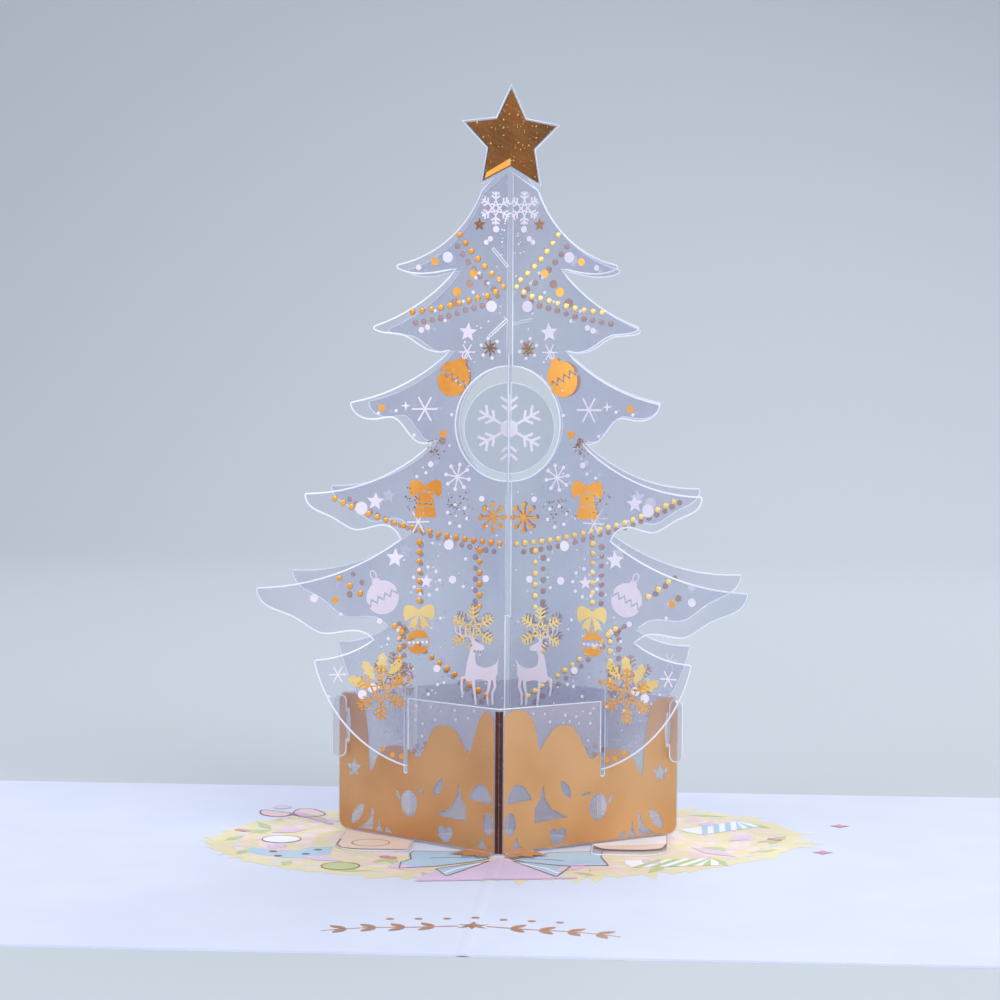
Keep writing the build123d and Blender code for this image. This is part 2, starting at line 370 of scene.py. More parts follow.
def lies_on(surface, sheet, x, y, radius):
    """Whether a spot on a sheet has film behind all of it."""
    inward = -sheet.col[2].to_3d().normalized()
    for turn in range(8):
        a, b = x + radius * cos(turn * pi / 4), y + radius * sin(turn * pi / 4)
        start = (sheet @ Vector((a, b, FILM))).to_3d()
        if surface.ray_cast(start, inward, FILM * MM)[0] is None:
            return False
    return True




# Flat shapes, drawn in millimetres


def turned(points, angle=0.0, centre=(0, 0), scale=1.0):
    """Points turned about the origin, scaled, and moved to a centre."""
    c, s = cos(angle) * scale, sin(angle) * scale
    return [(centre[0] + x * c - y * s, centre[1] + x * s + y * c) for x, y in points]


def round_outline(centre, width, height=None, sides=20, start=0.0, sweep=2 * pi):
    """Points on a circle, an ellipse, or an arc of one."""
    height = width if height is None else height
    count = sides if sweep >= 2 * pi else sides + 1
    angles = [start + sweep * step / sides for step in range(count)]
    return [(centre[0] + width * cos(a), centre[1] + height * sin(a)) for a in angles]


def star_outline(centre, radius, points=5, inner=0.45, tilt=0.0):
    """A star, one point up before its tilt."""
    outline = []
    for step in range(2 * points):
        reach = radius if step % 2 == 0 else radius * inner
        angle = pi / 2 + tilt + pi * step / points
        outline.append((centre[0] + reach * cos(angle), centre[1] + reach * sin(angle)))
    return outline


def curved(points, steps=5, closed=True):
    """A smooth outline through a few points."""
    smooth = []
    count = len(points)
    for index in range(count if closed else count - 1):
        p0, p1, p2, p3 = (points[(index + k) % count] for k in (-1, 0, 1, 2))
        if not closed:
            p0 = points[max(index - 1, 0)]
            p3 = points[min(index + 2, count - 1)]
        for step in range(steps):
            t = step / steps
            smooth.append(tuple(
                0.5 * (2 * b + (c - a) * t + (2 * a - 5 * b + 4 * c - d) * t * t
                       + (3 * b - a - 3 * c + d) * t**3)
                for a, b, c, d in zip(p0, p1, p2, p3)
            ))
    return smooth if closed else [*smooth, points[-1]]


class Stamp:
    """Shapes in one ink, as thin closed slabs a little off their sheet."""

    def __init__(self, lift=0.0, thickness=PRINT_THICKNESS):
        self.mesh = bmesh.new()
        self.low = lift
        self.high = lift + thickness
        self.count = 0

    def plate(self, outline, rise=0.0):
        """A slab with this outline; each lies a hair above the last, so that no two faces coincide."""
        self.count += 1
        hair = HAIR * (self.count % HAIRS) + rise
        ahead = outline[1:] + outline[:1]
        area = sum(x * b - a * y for (x, y), (a, b) in zip(outline, ahead))
        points = outline if area > 0 else outline[::-1]
        bottom = [self.mesh.verts.new((x, y, self.low + hair)) for x, y in points]
        top = [self.mesh.verts.new((x, y, self.high + hair)) for x, y in points]
        self.mesh.faces.new(bottom[::-1])
        self.mesh.faces.new(top)
        for index in range(len(points)):
            after = (index + 1) % len(points)
            self.mesh.faces.new((bottom[index], bottom[after], top[after], top[index]))

    def disc(self, centre, radius, height=None, sides=18):
        """A round or oval slab."""
        self.plate(round_outline(centre, radius, height, sides))

    def star(self, centre, radius, points=5, inner=0.45, tilt=0.0):
        """A slab in the shape of a star."""
        self.plate(star_outline(centre, radius, points, inner, tilt))

    def stroke(self, path, width, end_width=None):
        """A line of even or tapering width through the points of a path."""
        end_width = width if end_width is None else end_width
        last = len(path) - 1
        left, right = [], []
        for index, (x, y) in enumerate(path):
            ax, ay = path[max(index - 1, 0)]
            bx, by = path[min(index + 1, last)]
            length = hypot(bx - ax, by - ay) or 1.0
            half = (width + (end_width - width) * index / last) / 2
            nx, ny = -(by - ay) / length * half, (bx - ax) / length * half
            left.append((x + nx, y + ny))
            right.append((x - nx, y - ny))
        self.plate(left + right[::-1])

    def loop(self, outline, width):
        """A thin closed line, as a ring of short slabs."""
        for index, (x, y) in enumerate(outline):
            a, b = outline[(index + 1) % len(outline)]
            self.stroke([(x, y), (a, b)], width)

    def band(self, outer, inner):
        """A closed ring between two outlines with as many points, both anticlockwise."""
        corners = ((outer, self.high), (inner, self.high), (inner, self.low), (outer, self.low))
        rings = [
            [self.mesh.verts.new((x, y, height)) for x, y in outline] for outline, height in corners
        ]
        for here, below in zip(rings, rings[1:] + rings[:1]):
            for index in range(len(outer)):
                after = (index + 1) % len(outer)
                self.mesh.faces.new((here[index], here[after], below[after], below[index]))

    def bend_over_fold(self):
        """Follow the low bead that folding has raised along the card's middle."""
        for step in range(-3, 4):
            cut = (BEAD_HALF * step / 3, 0, 0)
            parts = [*self.mesh.verts, *self.mesh.edges, *self.mesh.faces]
            bmesh.ops.bisect_plane(self.mesh, geom=parts, plane_co=cut, plane_no=(1, 0, 0))
        arc = (BEAD_HALF**2 + BEAD_HEIGHT**2) / (2 * BEAD_HEIGHT)
        for vertex in self.mesh.verts:
            if abs(vertex.co.x) < BEAD_HALF:
                vertex.co.z += (arc**2 - vertex.co.x**2) ** 0.5 - arc + BEAD_HEIGHT

    def include(self, mesh):
        """A finished mesh joined in, and thrown away."""
        self.mesh.from_mesh(mesh)
        bpy.data.meshes.remove(mesh)

    def finish(self, name, sheet, material, slot):
        """The piece: its mesh put on its sheet."""
        mesh = bpy.data.meshes.new(name)
        self.mesh.to_mesh(mesh)
        self.mesh.free()
        mesh.transform(sheet)
        return add_piece(name, mesh, material)


def add_piece(name, mesh, material):
    """A finished piece that stays with the card."""
    piece = new_object(name, mesh)
    mesh.materials.clear()
    mesh.materials.append(material)
    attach(piece, "root")
    return piece


# Geometry Nodes: what repeats, or follows a path


def geometry_tree(name, inputs):
    """A Geometry Nodes tree with named inputs; returns a function that adds nodes to it."""
    tree = bpy.data.node_groups.new(name, "GeometryNodeTree")
    kinds = {float: "NodeSocketFloat", int: "NodeSocketInt"}
    tree.interface.new_socket("Geometry", in_out="INPUT", socket_type="NodeSocketGeometry")
    for label, value in inputs.items():
        socket = tree.interface.new_socket(label, in_out="INPUT", socket_type=kinds[type(value)])
        socket.default_value = value
    tree.interface.new_socket("Material", in_out="INPUT", socket_type="NodeSocketMaterial")
    tree.interface.new_socket("Geometry", in_out="OUTPUT", socket_type="NodeSocketGeometry")
    given = tree.nodes.new("NodeGroupInput")

    def add(kind, links=None, values=None, **settings):
        node = tree.nodes.new(kind)
        for key, value in settings.items():
            setattr(node, key, value)
        for label, value in (values or {}).items():
            node.inputs[label].default_value = value
        for label, source in (links or {}).items():
            tree.links.new(given.outputs[source] if isinstance(source, str) else source, node.inputs[label])
        return node

    return tree, add


def end_tree(tree, add, geometry):
    """Real geometry with its material, at the tree's end."""
    real = add("GeometryNodeRealizeInstances", {"Geometry": geometry})
    finish = add("GeometryNodeSetMaterial", {"Geometry": real.outputs[0], "Material": "Material"})
    out = tree.nodes.new("NodeGroupOutput")
    tree.links.new(finish.outputs[0], out.inputs[0])
    return tree


def even_points(add):
    """Points an even step apart along the lines of the mesh."""
    line = add("GeometryNodeMeshToCurve", {"Mesh": "Geometry"})
    links = {"Curve": line.outputs[0], "Length": "Step"}
    return add("GeometryNodeResampleCurve", links, mode="LENGTH").outputs[0]


def chance(add, low, high):
    """A value for each point, by the tree's seed."""
    return add("FunctionNodeRandomValue", {8: "Seed"}, {2: low, 3: high}, data_type="FLOAT").outputs[1]


def product(add, first, second):
    """One value times another."""
    return add("ShaderNodeMath", {0: first, 1: second}, operation="MULTIPLY").outputs[0]


def on_points(add, points, shape, scale, **links):
    """A shape on each point, at its own scale along x, y and z."""
    size = add("ShaderNodeCombineXYZ", dict(zip("XYZ", scale)))
    links.update({"Points": points, "Instance": shape.outputs[0], "Scale": size.outputs[0]})
    return add("GeometryNodeInstanceOnPoints", links).outputs[0]


def bead_tree():
    """Low round beads along each line of the mesh, an even step apart."""
    inputs = {"Step": 2.35, "Radius": 0.8, "Height": 0.055, "Seed": SEED}
    tree, add = geometry_tree("bead_string", inputs)
    bead = add("GeometryNodeMeshUVSphere", values={"Segments": 12, "Rings": 5, "Radius": 1.0})
    width = product(add, "Radius", chance(add, 0.88, 1.1))
    string = on_points(add, even_points(add), bead, (width, width, "Height"))
    smooth = add("GeometryNodeSetShadeSmooth", {"Geometry": string})
    return end_tree(tree, add, smooth.outputs[0])


def spot_tree():
    """A thin round spot on each point, of the point's own radius."""
    tree, add = geometry_tree("ink_spots", {"Thickness": PRINT_THICKNESS})
    radius = add("GeometryNodeInputNamedAttribute", values={"Name": "radius"}, data_type="FLOAT")
    spot = add("GeometryNodeMeshCylinder", values={"Vertices": 14, "Radius": 1.0, "Depth": 1.0})
    wide = radius.outputs[0]
    return end_tree(tree, add, on_points(add, "Geometry", spot, (wide, wide, "Thickness")))


def crystal_tree():
    """One arm repeated round its centre."""
    tree, add = geometry_tree("crystal_arms", {"Arms": 6, "Tilt": 0.0})
    arm = add("GeometryNodeGeometryToInstance", {"Geometry": "Geometry"})
    copies = {"Geometry": arm.outputs[0], "Amount": "Arms"}
    arms = add("GeometryNodeDuplicateElements", copies, domain="INSTANCE")
    step = add("ShaderNodeMath", {1: "Arms"}, {0: 2 * pi}, operation="DIVIDE")
    turn = product(add, arms.outputs[1], step.outputs[0])
    turn = add("ShaderNodeMath", {0: turn, 1: "Tilt"}, operation="ADD")
    about = add("ShaderNodeCombineXYZ", {"Z": turn.outputs[0]})
    ring = add("GeometryNodeRotateInstances", {"Instances": arms.outputs[0], "Rotation": about.outputs[0]})
    return end_tree(tree, add, ring.outputs[0])


def rim_tree():
    """The raised bead along a cut edge of the film: partly the cut's own frosting, partly a painted highlight
    of light caught in the edge.
    """
    tree, add = geometry_tree("cut_rim", {"Radius": 0.2, "Sides": 8})
    line = add("GeometryNodeMeshToCurve", {"Mesh": "Geometry"})
    ring = add("GeometryNodeCurvePrimitiveCircle", {"Resolution": "Sides", "Radius": "Radius"}, mode="RADIUS")
    curves = {"Curve": line.outputs[0], "Profile Curve": ring.outputs[0]}
    rim = add("GeometryNodeCurveToMesh", curves, {"Fill Caps": True})
    smooth = add("GeometryNodeSetShadeSmooth", {"Geometry": rim.outputs[0]})
    return end_tree(tree, add, smooth.outputs[0])


def foliage_tree():
    """Flat pointed leaves along a ring, each turned and sized at random."""
    inputs = {"Step": 1.0, "Length": 9.0, "Width": 1.6, "Thickness": PRINT_THICKNESS, "Seed": SEED}
    tree, add = geometry_tree("leaf_ring", inputs)
    leaf = add("GeometryNodeMeshCylinder", values={"Vertices": 4, "Radius": 1.0, "Depth": 1.0})
    way = add("GeometryNodeInputTangent")
    along = add("FunctionNodeAlignRotationToVector", {"Vector": way.outputs[0]}, axis="X")
    swing = add("ShaderNodeCombineXYZ", {"Z": chance(add, -1.5, 1.5)})
    turns = {"Rotation": along.outputs[0], "Rotate By": swing.outputs[0]}
    turn = add("FunctionNodeRotateRotation", turns, rotation_space="LOCAL")
    size = chance(add, 0.55, 1.15)
    scale = (product(add, "Length", size), "Width", product(add, "Thickness", size))
    leaves = on_points(add, even_points(add), leaf, scale, Rotation=turn.outputs[0])
    return end_tree(tree, add, leaves)


bead_string = bead_tree()
ink_spots = spot_tree()
crystal_arms = crystal_tree()
cut_rim = rim_tree()
leaf_ring = foliage_tree()


def grow(tree, mesh, material, values=None):
    """The mesh that a tree makes from a starting mesh."""
    holder = new_object("holder", mesh)
    modifier = holder.modifiers.new("grow", "NODES")
    modifier.node_group = tree
    for item in tree.interface.items_tree:
        if item.in_out == "INPUT" and item.name in (values or {}):
            modifier[item.identifier] = values[item.name]
        elif item.in_out == "INPUT" and item.name == "Material":
            modifier[item.identifier] = material
    bpy.context.view_layer.update()
    grown = evaluated_mesh(holder)
    bpy.data.meshes.remove(mesh)
    return grown


def path_mesh(paths, lift=0.0):
    """Lines of points as a mesh of edges; a path whose ends meet is closed."""
    points, edges = [], []
    for path in paths:
        closed = path[0] == path[-1]
        first = len(points)
        own = path[:-1] if closed else path
        points += [(x, y, lift) for x, y in own]
        edges += [(first + k, first + k + 1) for k in range(len(own) - 1)]
        if closed:
            edges.append((first + len(own) - 1, first))
    mesh = bpy.data.meshes.new("path")
    mesh.from_pydata(points, edges, [])
    return mesh


def spots(stamp, places, material):
    """Spots at (x, y, radius), added to a stamp."""
    mesh = bpy.data.meshes.new("places")
    middle = (stamp.low + stamp.high) / 2
    mesh.from_pydata([(x, y, middle + 0.0013 * (k % 11)) for k, (x, y, _) in enumerate(places)], [], [])
    attribute = mesh.attributes.new("radius", "FLOAT", "POINT")
    attribute.data.foreach_set("value", [radius for _, _, radius in places])
    stamp.include(grow(ink_spots, mesh, material))


def beads(stamp, paths, material):
    """Strings of beads, added to a stamp."""
    mesh = path_mesh([curved(path, 6, False) for path in paths], stamp.low)
    stamp.include(grow(bead_string, mesh, material))


def crystal(stamp, centre, arm, arms, material, tilt=0.0, hub=None):
    """A snow crystal: an arm, drawn along x from its centre, repeated round it, and its hub."""
    mesh = bpy.data.meshes.new("arm")
    arm.mesh.to_mesh(mesh)
    arm.mesh.free()
    made = grow(crystal_arms, mesh, material, {"Arms": arms, "Tilt": tilt})
    made.transform(Matrix.Translation((*centre, 0)))
    stamp.include(made)
    if hub:
        middle = turned(round_outline((0, 0), hub, sides=arms), tilt + pi / arms, centre)
        stamp.plate(middle, OVERPRINT)


def barbs(arm, radius, width, pairs, angle=radians(58)):
    """Slanting pairs of barbs on an arm; each pair is its place and length as shares of the arm."""
    for share, length in pairs:
        for hand in (-1, 1):
            foot = (radius * share + width * 0.3, hand * width * 0.3)
            reach = radius * length
            arm.stroke([foot, (foot[0] + reach * cos(angle), foot[1] + hand * reach * sin(angle))], width)


FULL_BARBS = ((0.5, 0.26), (0.68, 0.24), (0.84, 0.17))
OPEN_BARBS = ((0.56, 0.3), (0.79, 0.24))


def fern_arm(like, radius, width, pairs=FULL_BARBS):
    """An arm of an ornate crystal: pairs of barbs, and a pointed petal at its root."""
    arm = Stamp(like.low)
    arm.stroke([(radius * 0.42, 0), (radius, 0)], width)
    barbs(arm, radius, width, pairs)
    petal = [(0.13, 0.0), (0.27, 0.12), (0.45, 0.0), (0.27, -0.12)]
    arm.loop([(x * radius, y * radius) for x, y in petal], width * 0.8)
    return arm


def ball_arm(like, radius, width, ball):
    """An arm that ends in a ball."""
    arm = Stamp(like.low)
    arm.stroke([(width * 1.3, 0), (radius - ball * 1.6, 0)], width)
    arm.disc((radius - ball, 0), ball, sides=10)
    return arm


def plain_arm(like, radius, width):
    """A bare arm."""
    arm = Stamp(like.low)
    arm.stroke([(width * 0.9, 0), (radius, 0)], width)
    return arm


# Ornaments printed on the tree. A side of 1 draws to the right of the axis, and -1 to its left.


def flip(points, side):
    """Points of the right half drawn on the given side."""
    return [(side * x, y) for x, y in points]


def place_on(side, place):
    """A place of the right half on the given side."""
    return (side * place[0], place[1])


def zigzag(reach, height, teeth):
    """A zigzag across a bauble, from its left to its right."""
    count = 2 * teeth
    return [(-reach + 2 * reach * k / count, height * (1 if k % 2 else -1)) for k in range(count + 1)]


def bauble(ball, line, centre, radius, lean, side, tall=1.0):
    """A ball with a cap and a loop, crossed by an unprinted zigzag; lean is its cap's angle."""
    gap = radius * 0.05
    wave = zigzag(radius * 0.9, radius * 0.16, 4)
    tilt = lean - pi / 2
    open_angle = 0.15
    above = round_outline((0, 0), radius, sides=22, start=open_angle, sweep=pi - 2 * open_angle)
    below = round_outline((0, 0), radius, sides=22, start=pi + open_angle, sweep=pi - 2 * open_angle)
    upper = [*above, *[(x, y + gap * 1.6) for x, y in wave]]
    lower = [*below, *[(x, y - gap * 1.6) for x, y in reversed(wave)]]
    cap = [(-radius * 0.3, radius * 0.9), (radius * 0.3, radius * 0.9)]
    cap += [(radius * 0.2, radius * 1.2), (-radius * 0.2, radius * 1.2)]
    for shape in (upper, lower, cap):
        ball.plate(flip(turned([(x, y * tall) for x, y in shape], tilt, centre), side))
    ring = round_outline((0, radius * tall * 1.45), radius * 0.17, radius * 0.27, 12)
    line.loop(flip(turned(ring, tilt, centre), side), 0.3)


def bow(stamp, centre, size, side, tails):
    """A bow of two loops and a knot, and its tails if it has them."""
    petal = [(0, 0.1), (-0.45, 0.44), (-0.9, 0.42), (-1.02, 0.0), (-0.88, -0.5), (-0.5, -0.3), (-0.2, -0.2)]
    petal = curved(petal)
    for hand in (-1, 1):
        shape = [(hand * x, y) for x, y in petal]
        stamp.plate(flip(turned(shape, 0, centre, size), side))
        if tails:
            tail = [(0.0, -0.1), (0.5, -0.45), (0.72, -1.0), (0.42, -0.86), (0.22, -1.08), (0.1, -0.5)]
            shape = [(hand * x, y) for x, y in tail]
            stamp.plate(flip(turned(shape, 0, centre, size), side))
    stamp.disc((side * centre[0], centre[1]), size * 0.2, sides=12)


def bell(stamp, centre, side):
    """A broad bell under its bow: a body crossed by two unprinted lines, and a scalloped hem."""
    x, y = centre
    for top, bottom in ((2.6, 0.25), (0.08, -0.75), (-0.92, -2.9)):
        high, low = 2.25 - top * 0.19, 2.25 - bottom * 0.19
        part = [(x - low, y + bottom), (x + low, y + bottom), (x + high, y + top), (x - high, y + top)]
        stamp.plate(flip(part, side))
    for step in (-2, -1, 0, 1, 2):
        stamp.disc((side * (x + step * 1.12), y - 3.1), 0.58, sides=10)


def banded_ball(stamp, dots, centre, radius, side, material):
    """A ball with a cap, an open band of dots, and a base."""
    x, y = centre
    upper = round_outline(centre, radius, sides=16, start=0.32, sweep=pi - 0.64)
    lower = round_outline(centre, radius, sides=16, start=pi + 0.38, sweep=pi - 0.76)
    stamp.plate(flip(upper, side))
    stamp.plate(flip(lower, side))
    for start in (-0.38, pi - 0.32):
        arc = round_outline(centre, radius - 0.12, sides=5, start=start, sweep=0.7)
        stamp.stroke(flip(arc, side), 0.25)
    spots(dots, [(side * (x + step * 1.15), y - 0.1, 0.36) for step in (-2, -1, 0, 1, 2)], material)
    hanger = [(x - 0.9, y + radius), (x, y + radius + 1.7), (x + 0.9, y + radius)]
    stamp.stroke(flip(hanger, side), 0.3)


def holly_leaf(length, width):
    """A lobed leaf along x, from its stalk."""
    upper = [(0, 0), (0.18, 0.55), (0.3, 0.38), (0.5, 0.95), (0.62, 0.6), (0.82, 0.7), (1, 0)]
    lower = [(x, -y) for x, y in reversed(upper[1:-1])]
    return [(x * length, y * width / 2) for x, y in [*upper, *lower]]


def reindeer(stamp, side):
    """A standing reindeer that lifts one foreleg and looks back towards the axis."""

    def slim(points):
        return flip([(0.45 + 0.83 * x, y) for x, y in points], side)

    body = [(13.3, 41.4), (12.5, 44.6), (11.5, 47.4), (10.5, 48.9), (9.6, 48.7), (7.5, 47.7), (7.3, 47.0)]
    body += [(8.2, 46.6), (9.9, 46.6), (10.2, 44.7), (9.5, 42.9), (6.6, 42.2), (4.2, 42.8), (3.2, 43.4)]
    body += [(2.6, 44.2), (2.9, 42.4), (3.2, 40.0), (5.6, 38.8), (9.0, 39.4), (12.2, 38.9), (13.4, 39.8)]
    stamp.plate(slim(curved(body, 3)))
    legs = [
        [(4.1, 40.2), (3.7, 37.4), (4.6, 35.6), (4.5, 32.9)],
        [(5.4, 39.8), (5.7, 37.2), (6.3, 35.5), (6.0, 32.9)],
        [(10.9, 39.8), (10.4, 36.6), (9.9, 33.0)],
        [(12.7, 40.3), (14.4, 39.8), (14.6, 37.6), (14.1, 35.6)],
    ]
    for leg in legs:
        stamp.stroke(slim(leg), 0.95, 0.42)
    antlers = [
        [(10.8, 48.6), (11.9, 50.1), (14.1, 50.4), (16.3, 51.2), (16.8, 52.8)],
        [(12.9, 50.2), (13.5, 51.3), (13.3, 52.6)],
        [(14.8, 50.6), (15.2, 51.8), (14.9, 53.0)],
        [(10.5, 48.7), (11.0, 50.4), (10.6, 52.2)],
    ]
    for antler in antlers:
        stamp.stroke(slim(antler), 0.4, 0.25)
    stamp.plate(slim(turned([(0, -0.3), (1.4, 0), (0, 0.4)], 0.9, (10.9, 48.3))))


# Layout of one half of a tree film, in reach from the axis and height above the card.
# White spots with their radius, and small ones of one radius
DOT_RADIUS = 0.42
DISCS = [
    (16.8, 144.2, 1.35), (24.4, 141.5, 0.7), (5.1, 132.3, 1.45), (39.0, 82.6, 1.6), (16.1, 73.2, 1.3),
    (51.0, 60.9, 1.05), (34.2, 54.8, 0.7), (6.2, 64.5, 0.9), (15.1, 64.5, 1.0), (19.1, 42.5, 0.95),
    (21.0, 93.2, 0.75), (7.4, 84.5, 0.75), (4.0, 151.4, 0.85), (5.5, 149.0, 0.7), (6.6, 148.1, 0.65),
    (22.0, 126.9, 0.7), (23.6, 126.2, 0.75),
]
DOTS = [
    (8.4, 140.5), (9.3, 139.3), (6.0, 138.0), (10.0, 135.7), (12.6, 133.4), (20.0, 131.0), (17.4, 128.6),
    (30.1, 106.4), (34.7, 105.8), (15.5, 105.4), (22.2, 91.1), (24.6, 90.2), (44.2, 56.8), (29.4, 52.4),
    (31.9, 50.4), (17.2, 38.9), (18.9, 38.5), (21.3, 36.2), (24.5, 33.4), (12.2, 62.7), (18.2, 55.0),
    (37.6, 92.4), (28.9, 75.1), (47.3, 36.7), (13.4, 108.0), (25.4, 100.4), (11.6, 69.6), (39.5, 49.6),
]
# White stars with their radius, rings of spots with their radius and number, and strings of gold beads
STARS = [(11.3, 125.8, 2.5), (35.4, 84.2, 2.3), (30.2, 70.2, 2.5), (22.0, 64.3, 1.8)]
RINGS = [(5.4, 121.9, 2.5, 6), (13.9, 80.4, 2.7, 6), (22.0, 64.3, 3.5, 9)]
GARLANDS = [
    [(13.6, 149.8), (10.3, 145.6), (6.6, 141.8), (3.0, 138.9)],
    [(1.9, 137.2), (5.6, 135.0), (10.4, 133.9), (17.6, 131.9), (25.9, 130.6)],
    [(45.8, 85.0), (40.0, 82.3), (31.0, 79.0), (23.7, 77.2), (13.2, 74.7), (2.4, 73.2)],
    [(44.6, 65.6), (42.0, 63.7), (39.2, 61.7)],
    [(30.3, 53.4), (21.6, 46.3), (14.6, 41.1), (5.8, 35.2)],
    [(23.9, 74.0), (23.9, 59.6)],
    [(7.8, 71.6), (7.8, 57.6)],
    [(28.9, 52.6), (28.9, 40.6)],
]
GOLD_DOTS = [
    (20.2, 143.0, 0.95), (10.0, 140.3, 1.05), (14.3, 135.7, 1.15), (17.7, 100.7, 0.95), (33.9, 107.1, 0.9),
    (45.7, 60.3, 0.9), (26.4, 40.1, 0.6), (33.2, 23.2, 0.62), (30.7, 21.6, 0.66), (28.3, 21.1, 0.7),
    (24.9, 22.2, 0.68), (22.4, 23.2, 0.62),
]

# Snow crystals: centres, and for the plain ones their radius and line width
TOP_CRYSTAL = (4.1, 156.6)
PLAIN_CRYSTALS = [
    (11.5, 120.9, 2.2, 0.32), (22.6, 106.8, 3.4, 0.42), (24.2, 79.0, 2.9, 0.34), (44.9, 42.0, 2.2, 0.34),
]
BALL_CRYSTAL = (13.9, 90.0)
GOLD_CRYSTAL = (4.4, 79.8)
CORNER_CRYSTAL = (33.7, 37.2)
REINDEER_CRYSTAL = (9.5, 51.8)
DULL_CRYSTAL = (5.4, 121.9)
DULL_STAR = (8.4, 152.4)
SPARK = (27.6, 107.6)

# Holly leaves with the angle that each points at, and centres of the larger ornaments
BERRIES = [(36.0, 38.4), (38.6, 36.9)]
HOLLY = [(96, (33.8, 41.6)), (60, (35.6, 40.4)), (30, (37.6, 38.6)), (128, (31.8, 41.0))]
GOLD_BAUBLE = (15.1, 114.4)
LILAC_BAUBLE = (33.4, 60.6)
BELL = (22.3, 83.6)
BELL_BOW = (22.3, 87.3)
BANDED_BALL = (24.1, 49.3)
BALL_BOW = (23.9, 56.6)

# How far the gold of a far half seems shifted behind the other film
FAR_SHIFT = (1.6, -2.2)

# Snow on each half: how many spots, their lowest height, their range, and how the tree narrows
SNOW_SPOTS = 90
SNOW_FOOT = 32
SNOW_RANGE = 122
TREE_TOP = 158
NARROWING = 0.36

# Specks of foil round an ornament: how many, and each cloud's centre and spread
SPECKS = 34
DUST = [(13.9, 82.5, 3.2), (20.2, 97.5, 2.0), (5.2, 121.9, 1.1), (29.4, 42.6, 2.2), (25.0, 84.2, 3.0)]


def snow_dust(side, count, generator):
    """Fine snow over the half tree, thinning out towards the top."""
    places = []
    for _ in range(count):
        height = SNOW_FOOT + SNOW_RANGE * generator.random() ** 1.25
        reach = (TREE_TOP - height) * NARROWING
        across = 1.5 + (reach - 1.5) * generator.random()
        places.append((side * across, height, 0.14 + 0.16 * generator.random()))
    return places


def glitter(side, generator):
    """Loose specks of foil round the ornaments."""
    places = []
    for x, y, spread_by in DUST:
        for _ in range(SPECKS):
            dx, dy = generator.gauss(0, spread_by * 0.6), generator.gauss(0, spread_by * 0.6)
            if x + dx > 1:
                places.append((side * (x + dx), y + dy, 0.1 + 0.14 * generator.random()))
    return places


# White, gold and pale gold of a half that stands before the other film, and of one behind it; the far half's
# fainter white and half-clear bronze gold are painted shade and dark reflection for print seen through the
# other film
NEAR_INKS = (white_ink, gold_print, pale_print)
FAR_PAINTED_SHADE_INKS = (faint_ink, painted_shade_far_gold, painted_shade_far_gold)
HANDS = {-1: "left", 1: "right"}


def print_half(side, near, white, gold, pale, dull, on_film):
    """Half of a tree film's print, in four inks; a far half stands behind the other film."""
    generator = random.Random(SEED + side)
    white_material, gold_material, pale_material = NEAR_INKS if near else FAR_PAINTED_SHADE_INKS
    places = [(side * x, y, radius) for x, y, radius in DISCS]
    places += [(side * x, y, DOT_RADIUS) for x, y in DOTS]
    for x, y, radius, count in RINGS:
        ring = round_outline((x, y), radius, sides=count, start=0.3)
        places += [(side * a, b, 0.45) for a, b in ring]
    places += snow_dust(side, SNOW_SPOTS, generator)
    spots(white, [place for place in places if on_film(*place)], white_material)
    for x, y, radius in STARS:
        white.star((side * x, y), radius, tilt=side * 0.08)
    white.star(place_on(side, SPARK), 1.3, 4, 0.28)
    for x, y, radius, width in PLAIN_CRYSTALS:
        crystal(white, (side * x, y), plain_arm(white, radius, width), 6, white_material, hub=width)
    fern = fern_arm(white, 4.1, 0.46, OPEN_BARBS)
    crystal(white, place_on(side, TOP_CRYSTAL), fern, 6, white_material, pi / 6)
    balls = ball_arm(white, 3.6, 0.34, 0.5)
    crystal(white, place_on(side, BALL_CRYSTAL), balls, 8, white_material, side * 0.2, 0.5)
    spots(white, [(side * x, y, 1.15) for x, y in BERRIES], white_material)

    shift_x, shift_y = (0.0, 0.0) if near else FAR_SHIFT
    strings = [[(side * (x + shift_x), y + shift_y) for x, y in path] for path in GARLANDS]
    # The right half's beads take the paler gold and the left half's the deeper gold: a painted lit copy of
    # one gold, for the light falling on the right
    if side > 0:
        beads(pale, strings, pale_material)
    else:
        beads(gold, strings, gold_material)
    dots = [(side * (x + shift_x), y + shift_y, radius) for x, y, radius in GOLD_DOTS]
    spots(gold, [place for place in dots if on_film(*place)], gold_material)
    bauble(gold, white, GOLD_BAUBLE, 4.1, radians(118), side, 1.12)
    crystal(gold, place_on(side, GOLD_CRYSTAL), ball_arm(gold, 3.9, 0.46, 0.6), 8, gold_material, hub=0.66)
    crystal(gold, place_on(side, CORNER_CRYSTAL), fern_arm(gold, 6.8, 0.48), 6, gold_material, pi / 6)
    crystal(pale, place_on(side, REINDEER_CRYSTAL), fern_arm(pale, 6.0, 0.44), 6, pale_material, pi / 6)
    if not near:
        return
    for angle, place in HOLLY:
        leaf_shape = turned(holly_leaf(5.4, 3.2), radians(angle), place)
        pale.plate(flip(leaf_shape, side))
    bow(gold, BELL_BOW, 4.2, side, False)
    bell(gold, BELL, side)
    banded_ball(gold, white, BANDED_BALL, 3.0, side, white_material)
    bow(pale, BALL_BOW, 4.0, side, True)
    dull.star(place_on(side, DULL_STAR), 1.7)
    crystal(dull, place_on(side, DULL_CRYSTAL), plain_arm(dull, 2.0, 0.3), 8, dull_print, hub=0.4)
    spots(dull, [place for place in glitter(side, generator) if on_film(*place)], dull_print)


